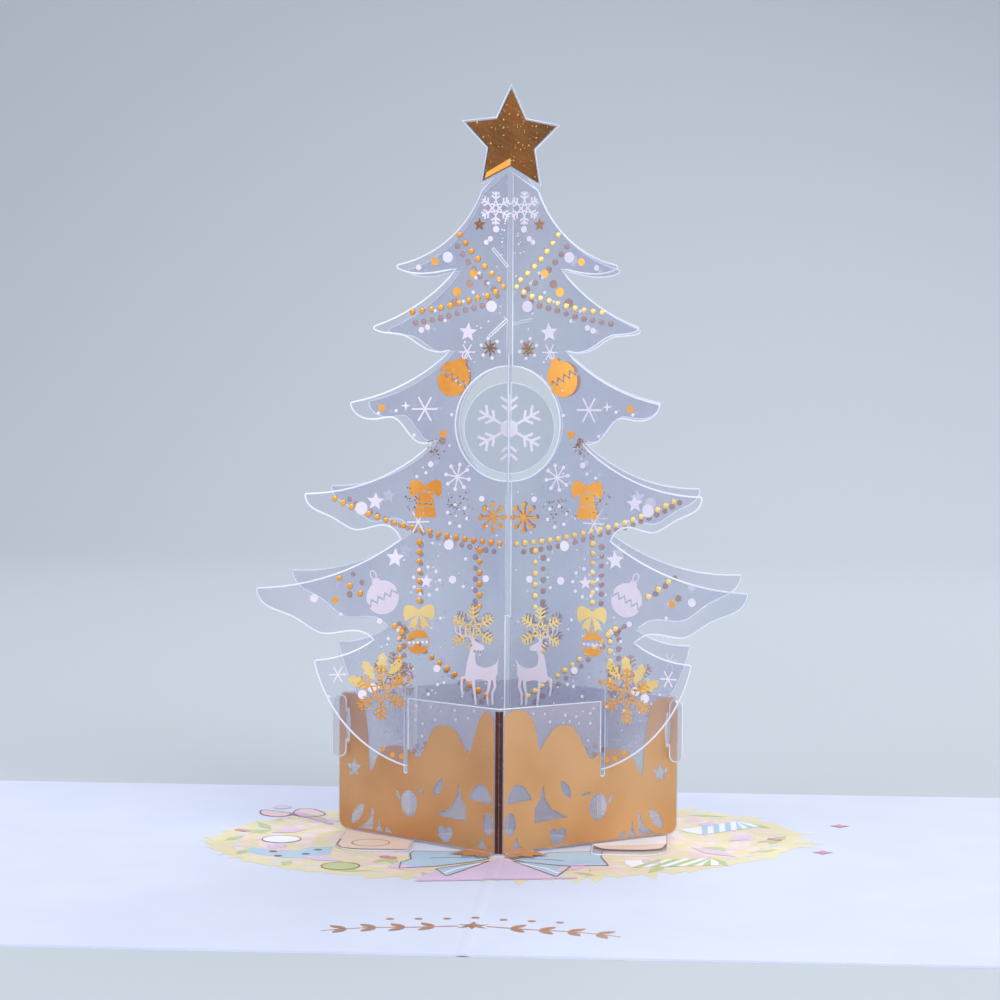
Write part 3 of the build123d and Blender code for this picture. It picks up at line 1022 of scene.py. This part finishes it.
def print_tree_film(name, sheet, near_side):
    """Both halves of one tree film; the half that stands behind the other film gets fainter white and bronze
    gold, painted shade for being seen through the other film.
    """
    lift = FILM / 2 + PRINT_GAP
    surface = surface_of(name)

    def on_film(x, y, radius):
        return lies_on(surface, sheet, x, y, radius)

    for side in (-1, 1):
        near = side == near_side
        half = f"{name}_{HANDS[side]}"
        white, gold, pale, dull, lilac = (Stamp(lift) for _ in range(5))
        print_half(side, near, white, gold, pale, dull, on_film)
        white_material, gold_material, pale_material = NEAR_INKS if near else FAR_PAINTED_SHADE_INKS
        white.finish(half + "_white_print", sheet, white_material, "white_ink")
        gold.finish(half + "_gold_print", sheet, gold_material, "gold_foil")
        pale.finish(half + "_pale_gold_print", sheet, pale_material, "gold_foil")
        if near:
            bauble(lilac, lilac, LILAC_BAUBLE, 4.2, radians(66), side)
            reindeer(lilac, side)
            lilac.finish(half + "_lilac_print", sheet, lilac_ink, "white_ink")
            dull.finish(half + "_dull_gold_print", sheet, dull_print, "gold_foil")


def print_star():
    """Gold on both faces of the star, inside a clear edge, and a painted glint along the lower-left point's
    lower edge.
    """
    rim = 0.7
    radius = STAR_RADIUS - 2 * rim
    outline = star_outline((0, STAR_CENTRE), radius, inner=(STAR_INNER - rim) / radius)
    lift = FILM / 2 + PRINT_GAP
    foil = Stamp(lift)
    foil.plate(outline)
    foil.low, foil.high = -lift - PRINT_THICKNESS, -lift
    foil.plate(outline)
    foil.finish("star_foil", star_sheet, star_foil, "gold_foil")
    # A bright gold strip from the lower-left point to the bottom notch: a painted glint where the film's edge
    # catches light, not foil
    (tip_x, tip_y), (_, notch_y) = outline[4], outline[5]
    painted_glint = Stamp(lift + PRINT_THICKNESS + PRINT_GAP)
    painted_glint.plate([
        (tip_x + 0.35, tip_y + 0.55), (-0.25, notch_y + 0.2),
        (-0.25, notch_y + 1.9), (tip_x + 0.7, tip_y + 2.0),
    ])
    painted_glint.finish("star_painted_glint", star_sheet, gold_print, "gold_foil")


def print_disc():
    """The large snow crystal on the hanging disc."""
    hub, reach, width = 2.2, 8.6, 0.66
    white = Stamp(FILM / 2 + PRINT_GAP)
    arm = Stamp(white.low)
    arm.stroke([(hub * 0.8, 0), (reach, 0)], width)
    barbs(arm, reach, width, ((0.5, 0.25), (0.72, 0.28)), radians(52))
    crystal(white, (0, DISC_CENTRE), arm, 6, white_ink, pi / 6)
    white.plate(round_outline((0, DISC_CENTRE), hub), OVERPRINT)
    white.finish("disc_snow_crystal", disc_sheet, white_ink, "white_ink")


# Foil on the box walls, in distance from the fold and height above the wall's foot
FOIL_TOPS = {
    -1: [
        (1.3, 31.0), (3.4, 34.2), (6.2, 31.6), (8.4, 25.2), (9.5, 23.4), (11.4, 25.4), (14.2, 28.7),
        (17.6, 29.4), (21.0, 28.2), (23.8, 23.4), (25.6, 20.8), (27.2, 21.2),
    ],
    1: [
        (1.3, 33.2), (4.6, 34.5), (8.2, 33.4), (10.2, 29.6), (11.4, 24.4), (13.2, 26.4), (15.8, 29.2),
        (18.6, 29.9), (21.8, 28.6), (24.6, 24.0), (26.4, 21.0), (27.8, 21.2),
    ],
}
FOIL_SHOULDER = [(33.4, 22.9), (36.6, 22.3), (39.4, 20.0), (41.6, 15.9), (42.4, 16.3), (42.8, 20.0)]
FOIL_COLUMN = [(43.2, 26.0), (44.6, 32.2), (46.6, 34.3), (48.4, 34.6)]
SLOT_PLACE = 30.3
SLOT_HALF = 0.75
SLOT_FOOT = 16.2
WALL_SPOTS = 26


def foil_outline(side):
    """Outline of the foil on one wall: hills above, straight below, open at the branch's slot."""
    outline = [(1.2, 0.2), *curved(FOIL_TOPS[side], 4, False), (SLOT_PLACE - SLOT_HALF, 22.4)]
    outline += [(SLOT_PLACE - SLOT_HALF, SLOT_FOOT), (SLOT_PLACE + SLOT_HALF, SLOT_FOOT)]
    outline += [(SLOT_PLACE + SLOT_HALF, 22.9), *curved(FOIL_SHOULDER, 4, False)]
    outline += curved(FOIL_COLUMN, 4, False)
    end, round_by = WALL_LENGTH + WALL_BEYOND - 0.35, 2.2
    for height, start in ((34.6 - round_by, pi / 2), (0.3 + round_by, 0.0)):
        outline += round_outline((end - round_by, height), round_by, sides=6, start=start, sweep=-pi / 2)
    return outline


def heart(centre, size):
    """A heart, point down."""
    half = [(0, -0.82), (0.58, -0.62), (0.96, 0.05), (0.94, 0.6), (0.55, 0.85), (0.12, 0.65)]
    outline = [*half, (0, 0.45), *[(-x, y) for x, y in reversed(half[1:])]]
    return [(centre[0] + x * size, centre[1] + y * size) for x, y in outline]


def leaf(start, end, width):
    """A pointed leaf between two points."""
    length = hypot(end[0] - start[0], end[1] - start[1])
    half = [(0, 0), (0.25, 0.8), (0.55, 1.0), (0.82, 0.6), (1, 0)]
    outline = [*half, *[(x, -y) for x, y in reversed(half[1:-1])]]
    angle = atan2(end[1] - start[1], end[0] - start[0])
    return turned([(x * length, y * width / 2) for x, y in outline], angle, start)


WINDOW_ARCH = [(8.8, 13.6), (6.9, 15.8), (5.4, 16.3), (4.0, 15.9), (2.2, 13.4)]
FOIL_WINDOWS = [
    [(1.6, 11.8), (9.4, 12.3), *curved(WINDOW_ARCH, 3, False)],
    round_outline((3.1, 6.9), 1.65, 2.8, 16),
    [(2.4, 0.8), (7.2, 0.8), (5.8, 1.6), (5.0, 3.8), (4.2, 1.6)],
    [(10.1, 6.6), (19.9, 7.2), (15.2, 9.6), (13.2, 12.4), (12.7, 15.8), (11.6, 12.0), (10.2, 10.4)],
    leaf((20.8, 11.7), (17.8, 16.4), 2.3),
    [*round_outline((29.0, 9.0), 2.8, 3.2, 16, -1.25, 5.2), (28.2, 5.4)],
    heart((17.0, 2.75), 2.5),
    [(38.0, 0.8), (40.6, 0.8), (39.7, 2.2), (39.3, 5.0), (38.8, 2.2)],
    [(34.6, 0.8), (37.0, 2.4), (37.2, 0.8)],
    [(41.3, 0.9), (46.6, 0.8), (43.8, 2.4), (42.4, 4.0), (42.0, 6.0), (40.9, 6.4), (41.2, 4.0)],
    leaf((49.0, 1.6), (44.4, 7.2), 3.0),
    leaf((33.6, 12.2), (32.0, 9.2), 0.8),
    leaf((26.8, 12.7), (23.6, 12.2), 0.8),
    star_outline((47.9, 15.8), 2.7),
    round_outline((WALL_LENGTH, HOOK_SLIT_CENTRE), 0.8, 4.7),
]


def pierced_foil(name, side, sheet):
    """One wall's foil, cut from its outline and windows."""
    curve = bpy.data.curves.new(name, "CURVE")
    curve.dimensions = "2D"
    curve.fill_mode = "BOTH"
    curve.extrude = PRINT_THICKNESS / 2
    for outline in [foil_outline(side), *FOIL_WINDOWS]:
        spline = curve.splines.new("POLY")
        spline.points.add(len(outline) - 1)
        for point, (x, y) in zip(spline.points, outline):
            point.co = (side * x, y, 0, 1)
        spline.use_cyclic_u = True
    mesh = evaluated_mesh(new_object(name, curve))
    bpy.data.curves.remove(curve)
    foil = bmesh.new()
    foil.from_mesh(mesh)
    bmesh.ops.remove_doubles(foil, verts=foil.verts, dist=0.001)
    bmesh.ops.recalc_face_normals(foil, faces=foil.faces)
    foil.to_mesh(mesh)
    foil.free()
    lift = FILM / 2 + PRINT_GAP + PRINT_THICKNESS / 2
    mesh.transform(sheet @ Matrix.Translation((0, 0, lift)))
    # The left wall takes the darker copy of the foil, which is painted shade
    return add_piece(name, mesh, wall_foil if side > 0 else painted_shade_foil)


def wall_snow(name, side, sheet, generator):
    """Snow on a wall's clear part."""
    snow = Stamp(FILM / 2 + PRINT_GAP)
    places = []
    while len(places) < WALL_SPOTS:
        x, y = generator.uniform(6, 47), generator.uniform(23, 34)
        clear = abs(x - SLOT_PLACE) > 1.5 and (y > 30.2 or 22.5 < x < 43)
        if clear and all(hypot(side * x - a, y - b) > 1.6 for a, b, _ in places):
            places.append((side * x, y, generator.uniform(0.22, 0.42)))
    spots(snow, places, faint_ink)
    snow.finish(name, sheet, faint_ink, "white_ink")


def crease_strip():
    """Foil bent round the front fold of the box, cracked open along the fold's middle; its near-black brown
    is painted dark reflection, not the foil's own colour.
    """
    radius = FOLD_RADIUS + FILM / 2 + PRINT_GAP + PRINT_THICKNESS
    centre_y = -BOX_HALF_DEPTH + FOLD_RADIUS / cos(WALL_ANGLE)
    flat, crack = 0.12, radians(2)
    strip = Stamp(0, WALL_HEIGHT - 0.8)
    for hand in (-1, 1):
        angles = [crack + (WALL_ANGLE - crack) * k / 6 for k in range(7)]
        plan = [(hand * radius * sin(a), centre_y - radius * cos(a)) for a in angles]
        end = plan[-1]
        plan.append((end[0] + hand * flat * cos(WALL_ANGLE), end[1] + flat * sin(WALL_ANGLE)))
        strip.stroke(plan, PRINT_THICKNESS * 2)
    place = Matrix.Translation((AXIS_X, AXIS_Y, (WALL_FOOT + 0.1) * MM)) @ Matrix.Scale(MM, 4)
    strip.finish("front_crease", place, painted_dark_crease_foil, "gold_foil")


# Foil on a front foot, in distance from the fold and depth from the tree's axis
FOOT_OUTLINE = [
    (2.0, -29.2), (7.6, -25.0), (8.4, -25.4), (11.5, -29.9), (8.3, -30.1),
    (8.4, -32.4), (5.6, -31.5), (4.6, -33.6), (2.0, -32.6),
]


def gold_feet():
    """Foil on the two short feet at the front of the box."""
    feet = Stamp(FILM + PRINT_GAP)
    for side in (-1, 1):
        feet.plate([(side * x, y) for x, y in FOOT_OUTLINE])
    feet.finish("front_feet_foil", card_sheet, wall_foil, "gold_foil")


# The cut edges of every film: a region of a film this broad, in square millimetres, is one of its faces,
# and two faces of a region meet at less than the angle with this cosine
BROAD_AREA = 60
SMOOTH = 0.87


def broad_faces(mesh, least):
    """Faces that belong to a smooth region of at least this area, in square metres."""
    broad, seen = set(), set()
    for start in mesh.faces:
        if start in seen:
            continue
        region, queue = [], [start]
        seen.add(start)
        while queue:
            face = queue.pop()
            region.append(face)
            for edge in face.edges:
                for other in edge.link_faces:
                    if other not in seen and other.normal.dot(face.normal) > SMOOTH:
                        seen.add(other)
                        queue.append(other)
        if sum(face.calc_area() for face in region) > least:
            broad.update(region)
    return broad


def cut_rim_of(node, radius, facing):
    """A bead inside the cut edges of a film node, partly frosting and partly painted highlight; facing picks
    one of its two faces.
    """
    mesh = bmesh.new()
    mesh.from_mesh(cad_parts[node].data)
    bmesh.ops.remove_doubles(mesh, verts=mesh.verts, dist=1e-6)
    mesh.normal_update()
    broad = broad_faces(mesh, BROAD_AREA * MM * MM)
    inward, edges = {}, []
    for edge in mesh.edges:
        if len(edge.link_faces) != 2:
            continue
        near = [face for face in edge.link_faces if face in broad]
        rest = [face for face in edge.link_faces if face not in broad]
        if len(near) != 1 or near[0].normal.dot(rest[0].normal) > 0.5:
            continue
        if near[0].normal.dot(facing(edge.verts[0].co)) < 0.1:
            continue
        edges.append(edge)
        for vertex in edge.verts:
            inward.setdefault(vertex, []).append((near[0].normal.copy(), rest[0].normal.copy()))
    index, points = {}, []
    for vertex, pairs in inward.items():
        flat = sum((pair[0] for pair in pairs), Vector()).normalized()
        sides = sum((pair[1] for pair in pairs), Vector()).normalized()
        index[vertex] = len(points)
        points.append(vertex.co - flat * FILM / 2 * MM - sides * radius * MM)
    lines = bpy.data.meshes.new("edges")
    lines.from_pydata(points, [[index[vertex] for vertex in edge.verts] for edge in edges], [])
    mesh.free()
    rim = grow(cut_rim, lines, glowing_cut_edge, {"Radius": radius * MM})
    add_piece(node + "_glowing_cut_edge", rim, glowing_cut_edge)


def facing_by(sheet):
    """The same direction everywhere: out of a flat sheet."""
    out = sheet.col[2].to_3d().normalized()
    return lambda place: out


def away_from_axis(place):
    """Out of the box wall at this place, and up on a tab."""
    side = Vector((place.x - AXIS_X, place.y - AXIS_Y, 0)).normalized()
    return side + Vector((0, 0, 1))


# Print on the card, in distance across and depth from the tree's axis
WREATH_CENTRE = (0.8, -6.5)
WREATH_WIDTH = 74.5
WREATH_DEPTH = 53.0
WREATH_SLANT = 0.1
PASTEL_ORDER = [
    "blush", "yellow", "peach", "pink", "green", "blue", "white", "lilac", "orchid", "rose", "brown",
]
PASTEL_STEP = 0.014
PASTEL_THICKNESS = 0.01


def wreath_ring(out):
    """The wreath's outer ring, drawn a little out of it or, with a value below 0, inside it."""
    ring = round_outline((0, 0), WREATH_WIDTH + out, WREATH_DEPTH + out * 0.8, 60)
    return [(WREATH_CENTRE[0] + x, WREATH_CENTRE[1] + y + x * WREATH_SLANT) for x, y in ring]


def outlined(layers, colour, outline, width=0.26):
    """A shape with a thin brown line round it."""
    layers[colour].plate(outline)
    layers["brown"].loop(outline, width)


# Leaves of the wreath: colour, place in from its outer ring, step between them, length, width, seed
FOLIAGE = [
    ("yellow", -4, 4.4, 7.5, 2.4, 1), ("yellow", -11, 4.0, 7.0, 2.4, 2), ("yellow", -20, 4.2, 6.5, 2.4, 3),
    ("yellow", -28, 4.6, 6.0, 2.2, 9), ("peach", -9, 9.0, 6.5, 2.2, 4), ("pink", -15, 15.0, 7.0, 2.4, 5),
    ("green", -7, 19.0, 5.5, 1.5, 6), ("lilac", -17, 21.0, 7.0, 2.6, 7), ("peach", -24, 9.0, 6.5, 2.4, 8),
]


def foliage(layers):
    """Leaves all round the wreath, mostly yellow, on a pale ground."""
    layers["blush"].band(wreath_ring(-11), wreath_ring(-36))
    for colour, out, step, length, width, seed in FOLIAGE:
        stamp = layers[colour]
        ring = wreath_ring(out)
        mesh = path_mesh([[*ring, ring[0]]], (stamp.low + stamp.high) / 2)
        sizes = {"Step": step, "Length": length, "Width": width, "Thickness": PASTEL_THICKNESS}
        sizes["Seed"] = SEED + seed
        stamp.include(grow(leaf_ring, mesh, pastels[colour], sizes))


def berries(layers, centre, size, leaf_turns):
    """Two red berries and their green leaves."""
    x, y = centre
    for turn in leaf_turns:
        end = (x + size * 4.0 * cos(radians(turn)), y + size * 4.0 * sin(radians(turn)))
        layers["green"].plate(leaf((x, y), end, size * 1.5))
    for dx, dy in ((0, 0), (-size * 0.9, size * 0.6)):
        layers["rose"].disc((x + dx, y + dy), size * 0.72, sides=14)


def striped_bar(layers, centre, angle, colour, length, width):
    """A white bar with rounded ends and slanted stripes of a colour."""
    end = length * 1.07
    bar = [(-length, -width), (length, -width), (end, 0), (length, width), (-length, width), (-end, 0)]
    layers["white"].plate(turned(bar, radians(angle), centre))
    stripes = Stamp(layers["white"].high + OVERPRINT, PASTEL_THICKNESS)
    count = 5
    for step in range(count):
        x = -length + 2 * length * step / count
        stripe = length / count
        slant = 1.8 * width
        corners = [(x, -width), (x + stripe, -width), (x + stripe + slant, width), (x + slant, width)]
        corners = [(min(a, length), b) for a, b in corners]
        stripes.plate(turned(corners, radians(angle), centre))
    stripes.finish(f"wreath_{colour}_stripes", card_sheet, pastels[colour], "pastel_ink")


BLUE_SASH = [
    (-60.5, -24.5), (-55.0, -28.5), (-49.5, -29.0), (-46.5, -23.5), (-41.0, -22.0), (-40.5, -31.0),
    (-44.5, -37.5), (-51.0, -37.0), (-57.0, -33.5), (-61.0, -29.5),
]
PINK_WINGS = [
    [(-57.5, 22.0), (-60.5, 17.5), (-65.5, 20.5), (-66.5, 27.0), (-62.0, 25.5)],
    [(-57.5, 22.0), (-53.5, 17.5), (-49.0, 22.0), (-53.0, 29.5), (-57.0, 29.5)],
]


def wreath_trimmings(layers):
    """Baubles, berries, ribbons and sweets that lie on the wreath."""
    outlined(layers, "white", round_outline((-55.0, -13.6), 4.8, sides=24))
    outlined(layers, "green", round_outline((-36.0, -46.0), 4.5, sides=24))
    layers["green"].disc((51.5, -16.0), 3.3, 3.0, 24)
    berries(layers, (-66.0, -3.0), 1.7, (-25, 5))
    berries(layers, (-25.2, -34.8), 1.9, (-80, -120))
    berries(layers, (67.8, -2.0), 1.6, (215, 250))
    layers["blue"].plate(BLUE_SASH)
    for x, y in ((-54.5, -29.8), (-44.0, -26.6), (-46.2, -32.2), (-52.4, -35.2)):
        layers["brown"].disc((x, y), 1.0, 0.9, 12)
    striped_bar(layers, (41.5, -34.4), 13, "green", 10.5, 4.3)
    striped_bar(layers, (53.6, 13.0), 42, "blue", 10.0, 4.4)
    for wing in PINK_WINGS:
        outlined(layers, "pink", curved(wing, 3), 0.3)
    layers["rose"].disc((-57.5, 21.6), 1.1, sides=14)
    tail = curved([(-57.0, 23.0), (-52.5, 18.0), (-49.5, 14.0), (-45.5, 8.5)], 4, False)
    layers["orchid"].stroke(tail, 2.6, 1.4)
    layers["lilac"].disc((-62.0, 32.5), 2.4, 3.2, 14)
    for x, y in ((84.5, 19.0), (78.0, -17.6)):
        layers["rose"].star((x, y), 2.6, 4, 0.5)


RIBBON_LEFT = [
    (-2.0, -34.0), (-3.2, -30.0), (-7.5, -25.6), (-20.8, -26.0), (-21.4, -29.0), (-20.4, -36.0),
    (-22.4, -40.0), (-22.0, -47.4), (-13.5, -44.0), (-6.0, -38.4),
]
RIBBON_RIGHT = [
    (3.0, -33.5), (9.0, -30.6), (12.0, -24.5), (24.6, -21.8), (24.6, -29.2), (26.6, -39.4), (17.0, -40.8),
    (7.0, -37.4),
]
RIBBON_UNDER = [
    [(-1.6, -36.4), (-13.4, -47.2), (-10.2, -55.6)],
    [(3.8, -36.2), (17.8, -41.6), (15.0, -53.6)],
]
RIBBON_TAILS = [
    (0.5, -32.8), (-9.6, -55.0), (-13.0, -48.6), (-16.4, -57.4), (-16.8, -62.0), (0.8, -58.8), (20.0, -55.2),
    (19.6, -53.2), (14.6, -53.8), (4.0, -36.4),
]


def ribbon(layers):
    """The bow at the front: blue loops, and broad tails that spread from the fold."""
    for outline in (RIBBON_LEFT, RIBBON_RIGHT, *RIBBON_UNDER):
        outlined(layers, "blue", outline, 0.3)
    for hand in (-1, 1):
        layers["brown"].stroke([(hand * 4.5, -33.6), (hand * 11.0, -33.0), (hand * 16.0, -34.6)], 0.25)
    layers["white"].stroke([(-3.0, -38.8), (-9.0, -47.0), (-11.2, -52.0)], 0.8)
    layers["white"].stroke([(5.2, -38.0), (12.0, -44.0), (15.4, -49.6)], 0.8)
    layers["lilac"].plate(RIBBON_TAILS)
    layers["orchid"].stroke([(-16.4, -61.2), (0.8, -58.1), (19.7, -54.6)], 1.3)


def card_print():
    """The pastel wreath round the box, and the ribbon before it."""
    layers = {}
    for place, name in enumerate(PASTEL_ORDER):
        layers[name] = Stamp(PRINT_GAP + PASTEL_STEP * place, PASTEL_THICKNESS)
    foliage(layers)
    wreath_trimmings(layers)
    ribbon(layers)
    for name, stamp in layers.items():
        stamp.bend_over_fold()
        stamp.finish("wreath_" + name, card_sheet, pastels[name], "pastel_ink")


def tab_print():
    """Print on the two front tabs, clear of the wall: peach on the left, white over peach on the right, and a
    brown line along each tab's front edge that is painted shadow.
    """
    layers = {}
    for place, name in enumerate(("white", "peach", "brown")):
        layers[name] = Stamp(FILM + PRINT_GAP + PASTEL_STEP * place, PASTEL_THICKNESS)
    layers["peach"].plate(
        [(-22.3, -14.6), (-22.3, -26.7), (-34.6, -26.7), (-38.6, -25.1), (-40.2, -21.4), (-40.2, -1.3)]
    )
    # Brown line along the left tab's front edge: painted shadow of the edge
    left_edge_painted_shadow = [(-22.3, -26.5), (-34.6, -26.5), (-38.6, -24.9), (-40.1, -21.4), (-40.1, -14.0)]
    layers["brown"].stroke(left_edge_painted_shadow, 0.4)
    layers["brown"].loop(round_outline((-32.2, -18.4), 4.6, sides=24), 0.28)
    layers["white"].plate([(22.4, -14.6), (22.4, -18.0), (40.1, -14.0), (40.1, -1.4)])
    layers["peach"].plate(
        [(22.4, -16.8), (25.0, -20.8), (34.0, -21.2), (39.0, -18.8), (40.1, -12.0), (33.0, -15.0)]
    )
    # Brown line along the right tab's front edge: painted shadow of the edge
    right_edge_painted_shadow = [(22.4, -17.0), (25.0, -20.8), (34.0, -21.2), (39.0, -18.8), (40.1, -13.0)]
    layers["brown"].stroke(curved(right_edge_painted_shadow, 3, False), 0.45)
    for name, stamp in layers.items():
        stamp.finish("front_tabs_" + name, card_sheet, pastels[name], "pastel_ink")


# The sprig's leaves: place on its right half, and the two ways that leaves point there
SPRIG_LEAVES = [(8, -108.2, 50, -50), (14, -109.4, 45, -50), (20, -110.2, 40, -55), (26, -111.8, 35, -60)]
SPRIG_STALK = [(3, -107), (12, -109), (22, -110.5), (31, -114)]


def gold_sprig():
    """A sprig in pale gold at the front of the card, where a greeting would be."""
    sprig = Stamp(PRINT_GAP)
    for hand in (-1, 1):
        sprig.stroke(curved([(hand * x, y) for x, y in SPRIG_STALK], 5, False), 0.7, 0.4)
        for x, y, *turns in SPRIG_LEAVES:
            for angle in map(radians, turns):
                tip = (hand * (x + 4.8 * cos(angle)), y + 4.8 * sin(angle))
                sprig.plate(leaf((hand * x, y), tip, 2.1))
    sprig.star((0, -107), 3.6, 6, 0.4)
    spots(sprig, [(x, -99.5 - abs(x) * 0.12, 0.9) for x in (-18, -12, -6, 0, 6, 12, 18)], greeting_foil)
    sprig.bend_over_fold()
    sprig.finish("card_sprig", card_sheet, greeting_foil, "gold_foil")


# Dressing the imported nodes, and every added piece
NODE_FINISHES = {
    "card": card_stock,
    "front_wall": wall_film,
    "back_wall": wall_film,
    "star_film": tree_film,
    "cross_film": tree_film,
    "ornament_disc": disc_film,
    "ornament_strip": disc_film,
}
for node_name, finish in NODE_FINISHES.items():
    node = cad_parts[node_name]
    node.data.materials.clear()
    node.data.materials.append(finish)

print_tree_film("star_film", star_sheet, -1)
print_tree_film("cross_film", cross_sheet, 1)
print_star()
print_disc()
snow_generator = random.Random(SEED)
for side, sheet in front_walls.items():
    pierced_foil(f"front_wall_{HANDS[side]}_foil", side, sheet)
    wall_snow(f"front_wall_{HANDS[side]}_snow", side, sheet, snow_generator)
for side, sheet in back_walls.items():
    wall_snow(f"back_wall_{HANDS[-side]}_snow", side, sheet, snow_generator)
crease_strip()
gold_feet()
card_print()
tab_print()
gold_sprig()

# Radius of the bead inside each film's cut edges, and the way that its printed face looks
CUT_RIMS = {
    "star_film": (0.22, facing_by(star_sheet)),
    "cross_film": (0.22, facing_by(cross_sheet)),
    "ornament_disc": (0.16, facing_by(disc_sheet)),
    "ornament_strip": (0.11, facing_by(upright_sheet(pi / 2))),
    "front_wall": (0.16, away_from_axis),
    "back_wall": (0.16, away_from_axis),
}
for node_name, (bead_radius, facing) in CUT_RIMS.items():
    cut_rim_of(node_name, bead_radius, facing)


# Studio: a pale sweep of floor and backdrop, soft lights, and the camera


def studio_sweep():
    """Floor that curves up into a backdrop."""
    back, radius, half, height = 1.6, 0.6, 4.0, 2.2
    profile = [(-3.0, 0.0), (back - radius, 0.0)]
    for step in range(1, 13):
        angle = pi / 2 * step / 12
        profile.append((back - radius + radius * sin(angle), radius - radius * cos(angle)))
    profile.append((back, height))
    points = [(x, y, z) for y, z in profile for x in (-half, half)]
    faces = [(2 * k, 2 * k + 1, 2 * k + 3, 2 * k + 2) for k in range(len(profile) - 1)]
    mesh = bpy.data.meshes.new("studio_sweep")
    mesh.from_pydata(points, [], faces)
    for polygon in mesh.polygons:
        polygon.use_smooth = True
    sweep = new_object("studio_sweep", mesh)
    material, shader = new_material("studio_paper")
    shader.inputs["Base Color"].default_value = srgb(190, 198, 207)
    shader.inputs["Roughness"].default_value = 0.9
    mesh.materials.append(material)


def area_light(name, place, aim, size, power, colour=(1, 1, 1)):
    """A square soft light that points at a place."""
    light = bpy.data.lights.new(name, "AREA")
    light.shape = "SQUARE"
    light.size = size
    light.energy = power
    light.color = colour
    lamp = new_object(name, light)
    lamp.location = place
    lamp.rotation_euler = (Vector(aim) - Vector(place)).to_track_quat("-Z", "Y").to_euler()


def lights():
    """A soft key from the right, a weaker fill from the left, and a light from above behind."""
    aim = (0, 0, 0.1)
    area_light("key", (0.9, -1.0, 1.0), aim, 0.9, 17, (1.0, 0.98, 0.95))
    area_light("fill", (-1.1, -0.8, 0.7), aim, 1.0, 8, (0.94, 0.97, 1.0))
    area_light("rim", (0.25, 1.0, 1.1), aim, 0.8, 9)
    world = bpy.data.worlds.new("studio")
    world.use_nodes = True
    sky = world.node_tree.nodes["Background"]
    sky.inputs["Color"].default_value = srgb(238, 242, 248)
    sky.inputs["Strength"].default_value = 0.55
    bpy.context.scene.world = world


def camera():
    """The photograph's view: a long lens, low over the card, a little to the right of the fold."""
    place = Vector((0.0405, -0.5906, 0.1151))
    heading, pitch, roll = radians(3.92), radians(2.8), radians(0.36)
    forward = Vector((-sin(heading) * cos(pitch), cos(heading) * cos(pitch), -sin(pitch)))
    data = bpy.data.cameras.new("view")
    data.lens = 90
    data.sensor_width = 36
    data.clip_start = 0.01
    view = new_object("view", data)
    view.location = place
    turn = forward.to_track_quat("-Z", "Y").to_matrix() @ Matrix.Rotation(roll, 3, "Z")
    view.rotation_euler = turn.to_euler()
    bpy.context.scene.camera = view


studio_sweep()
lights()
camera()
scene = bpy.context.scene
scene.view_settings.view_transform = "Standard"
scene.cycles.transparent_max_bounces = 64
scene.cycles.max_bounces = 16
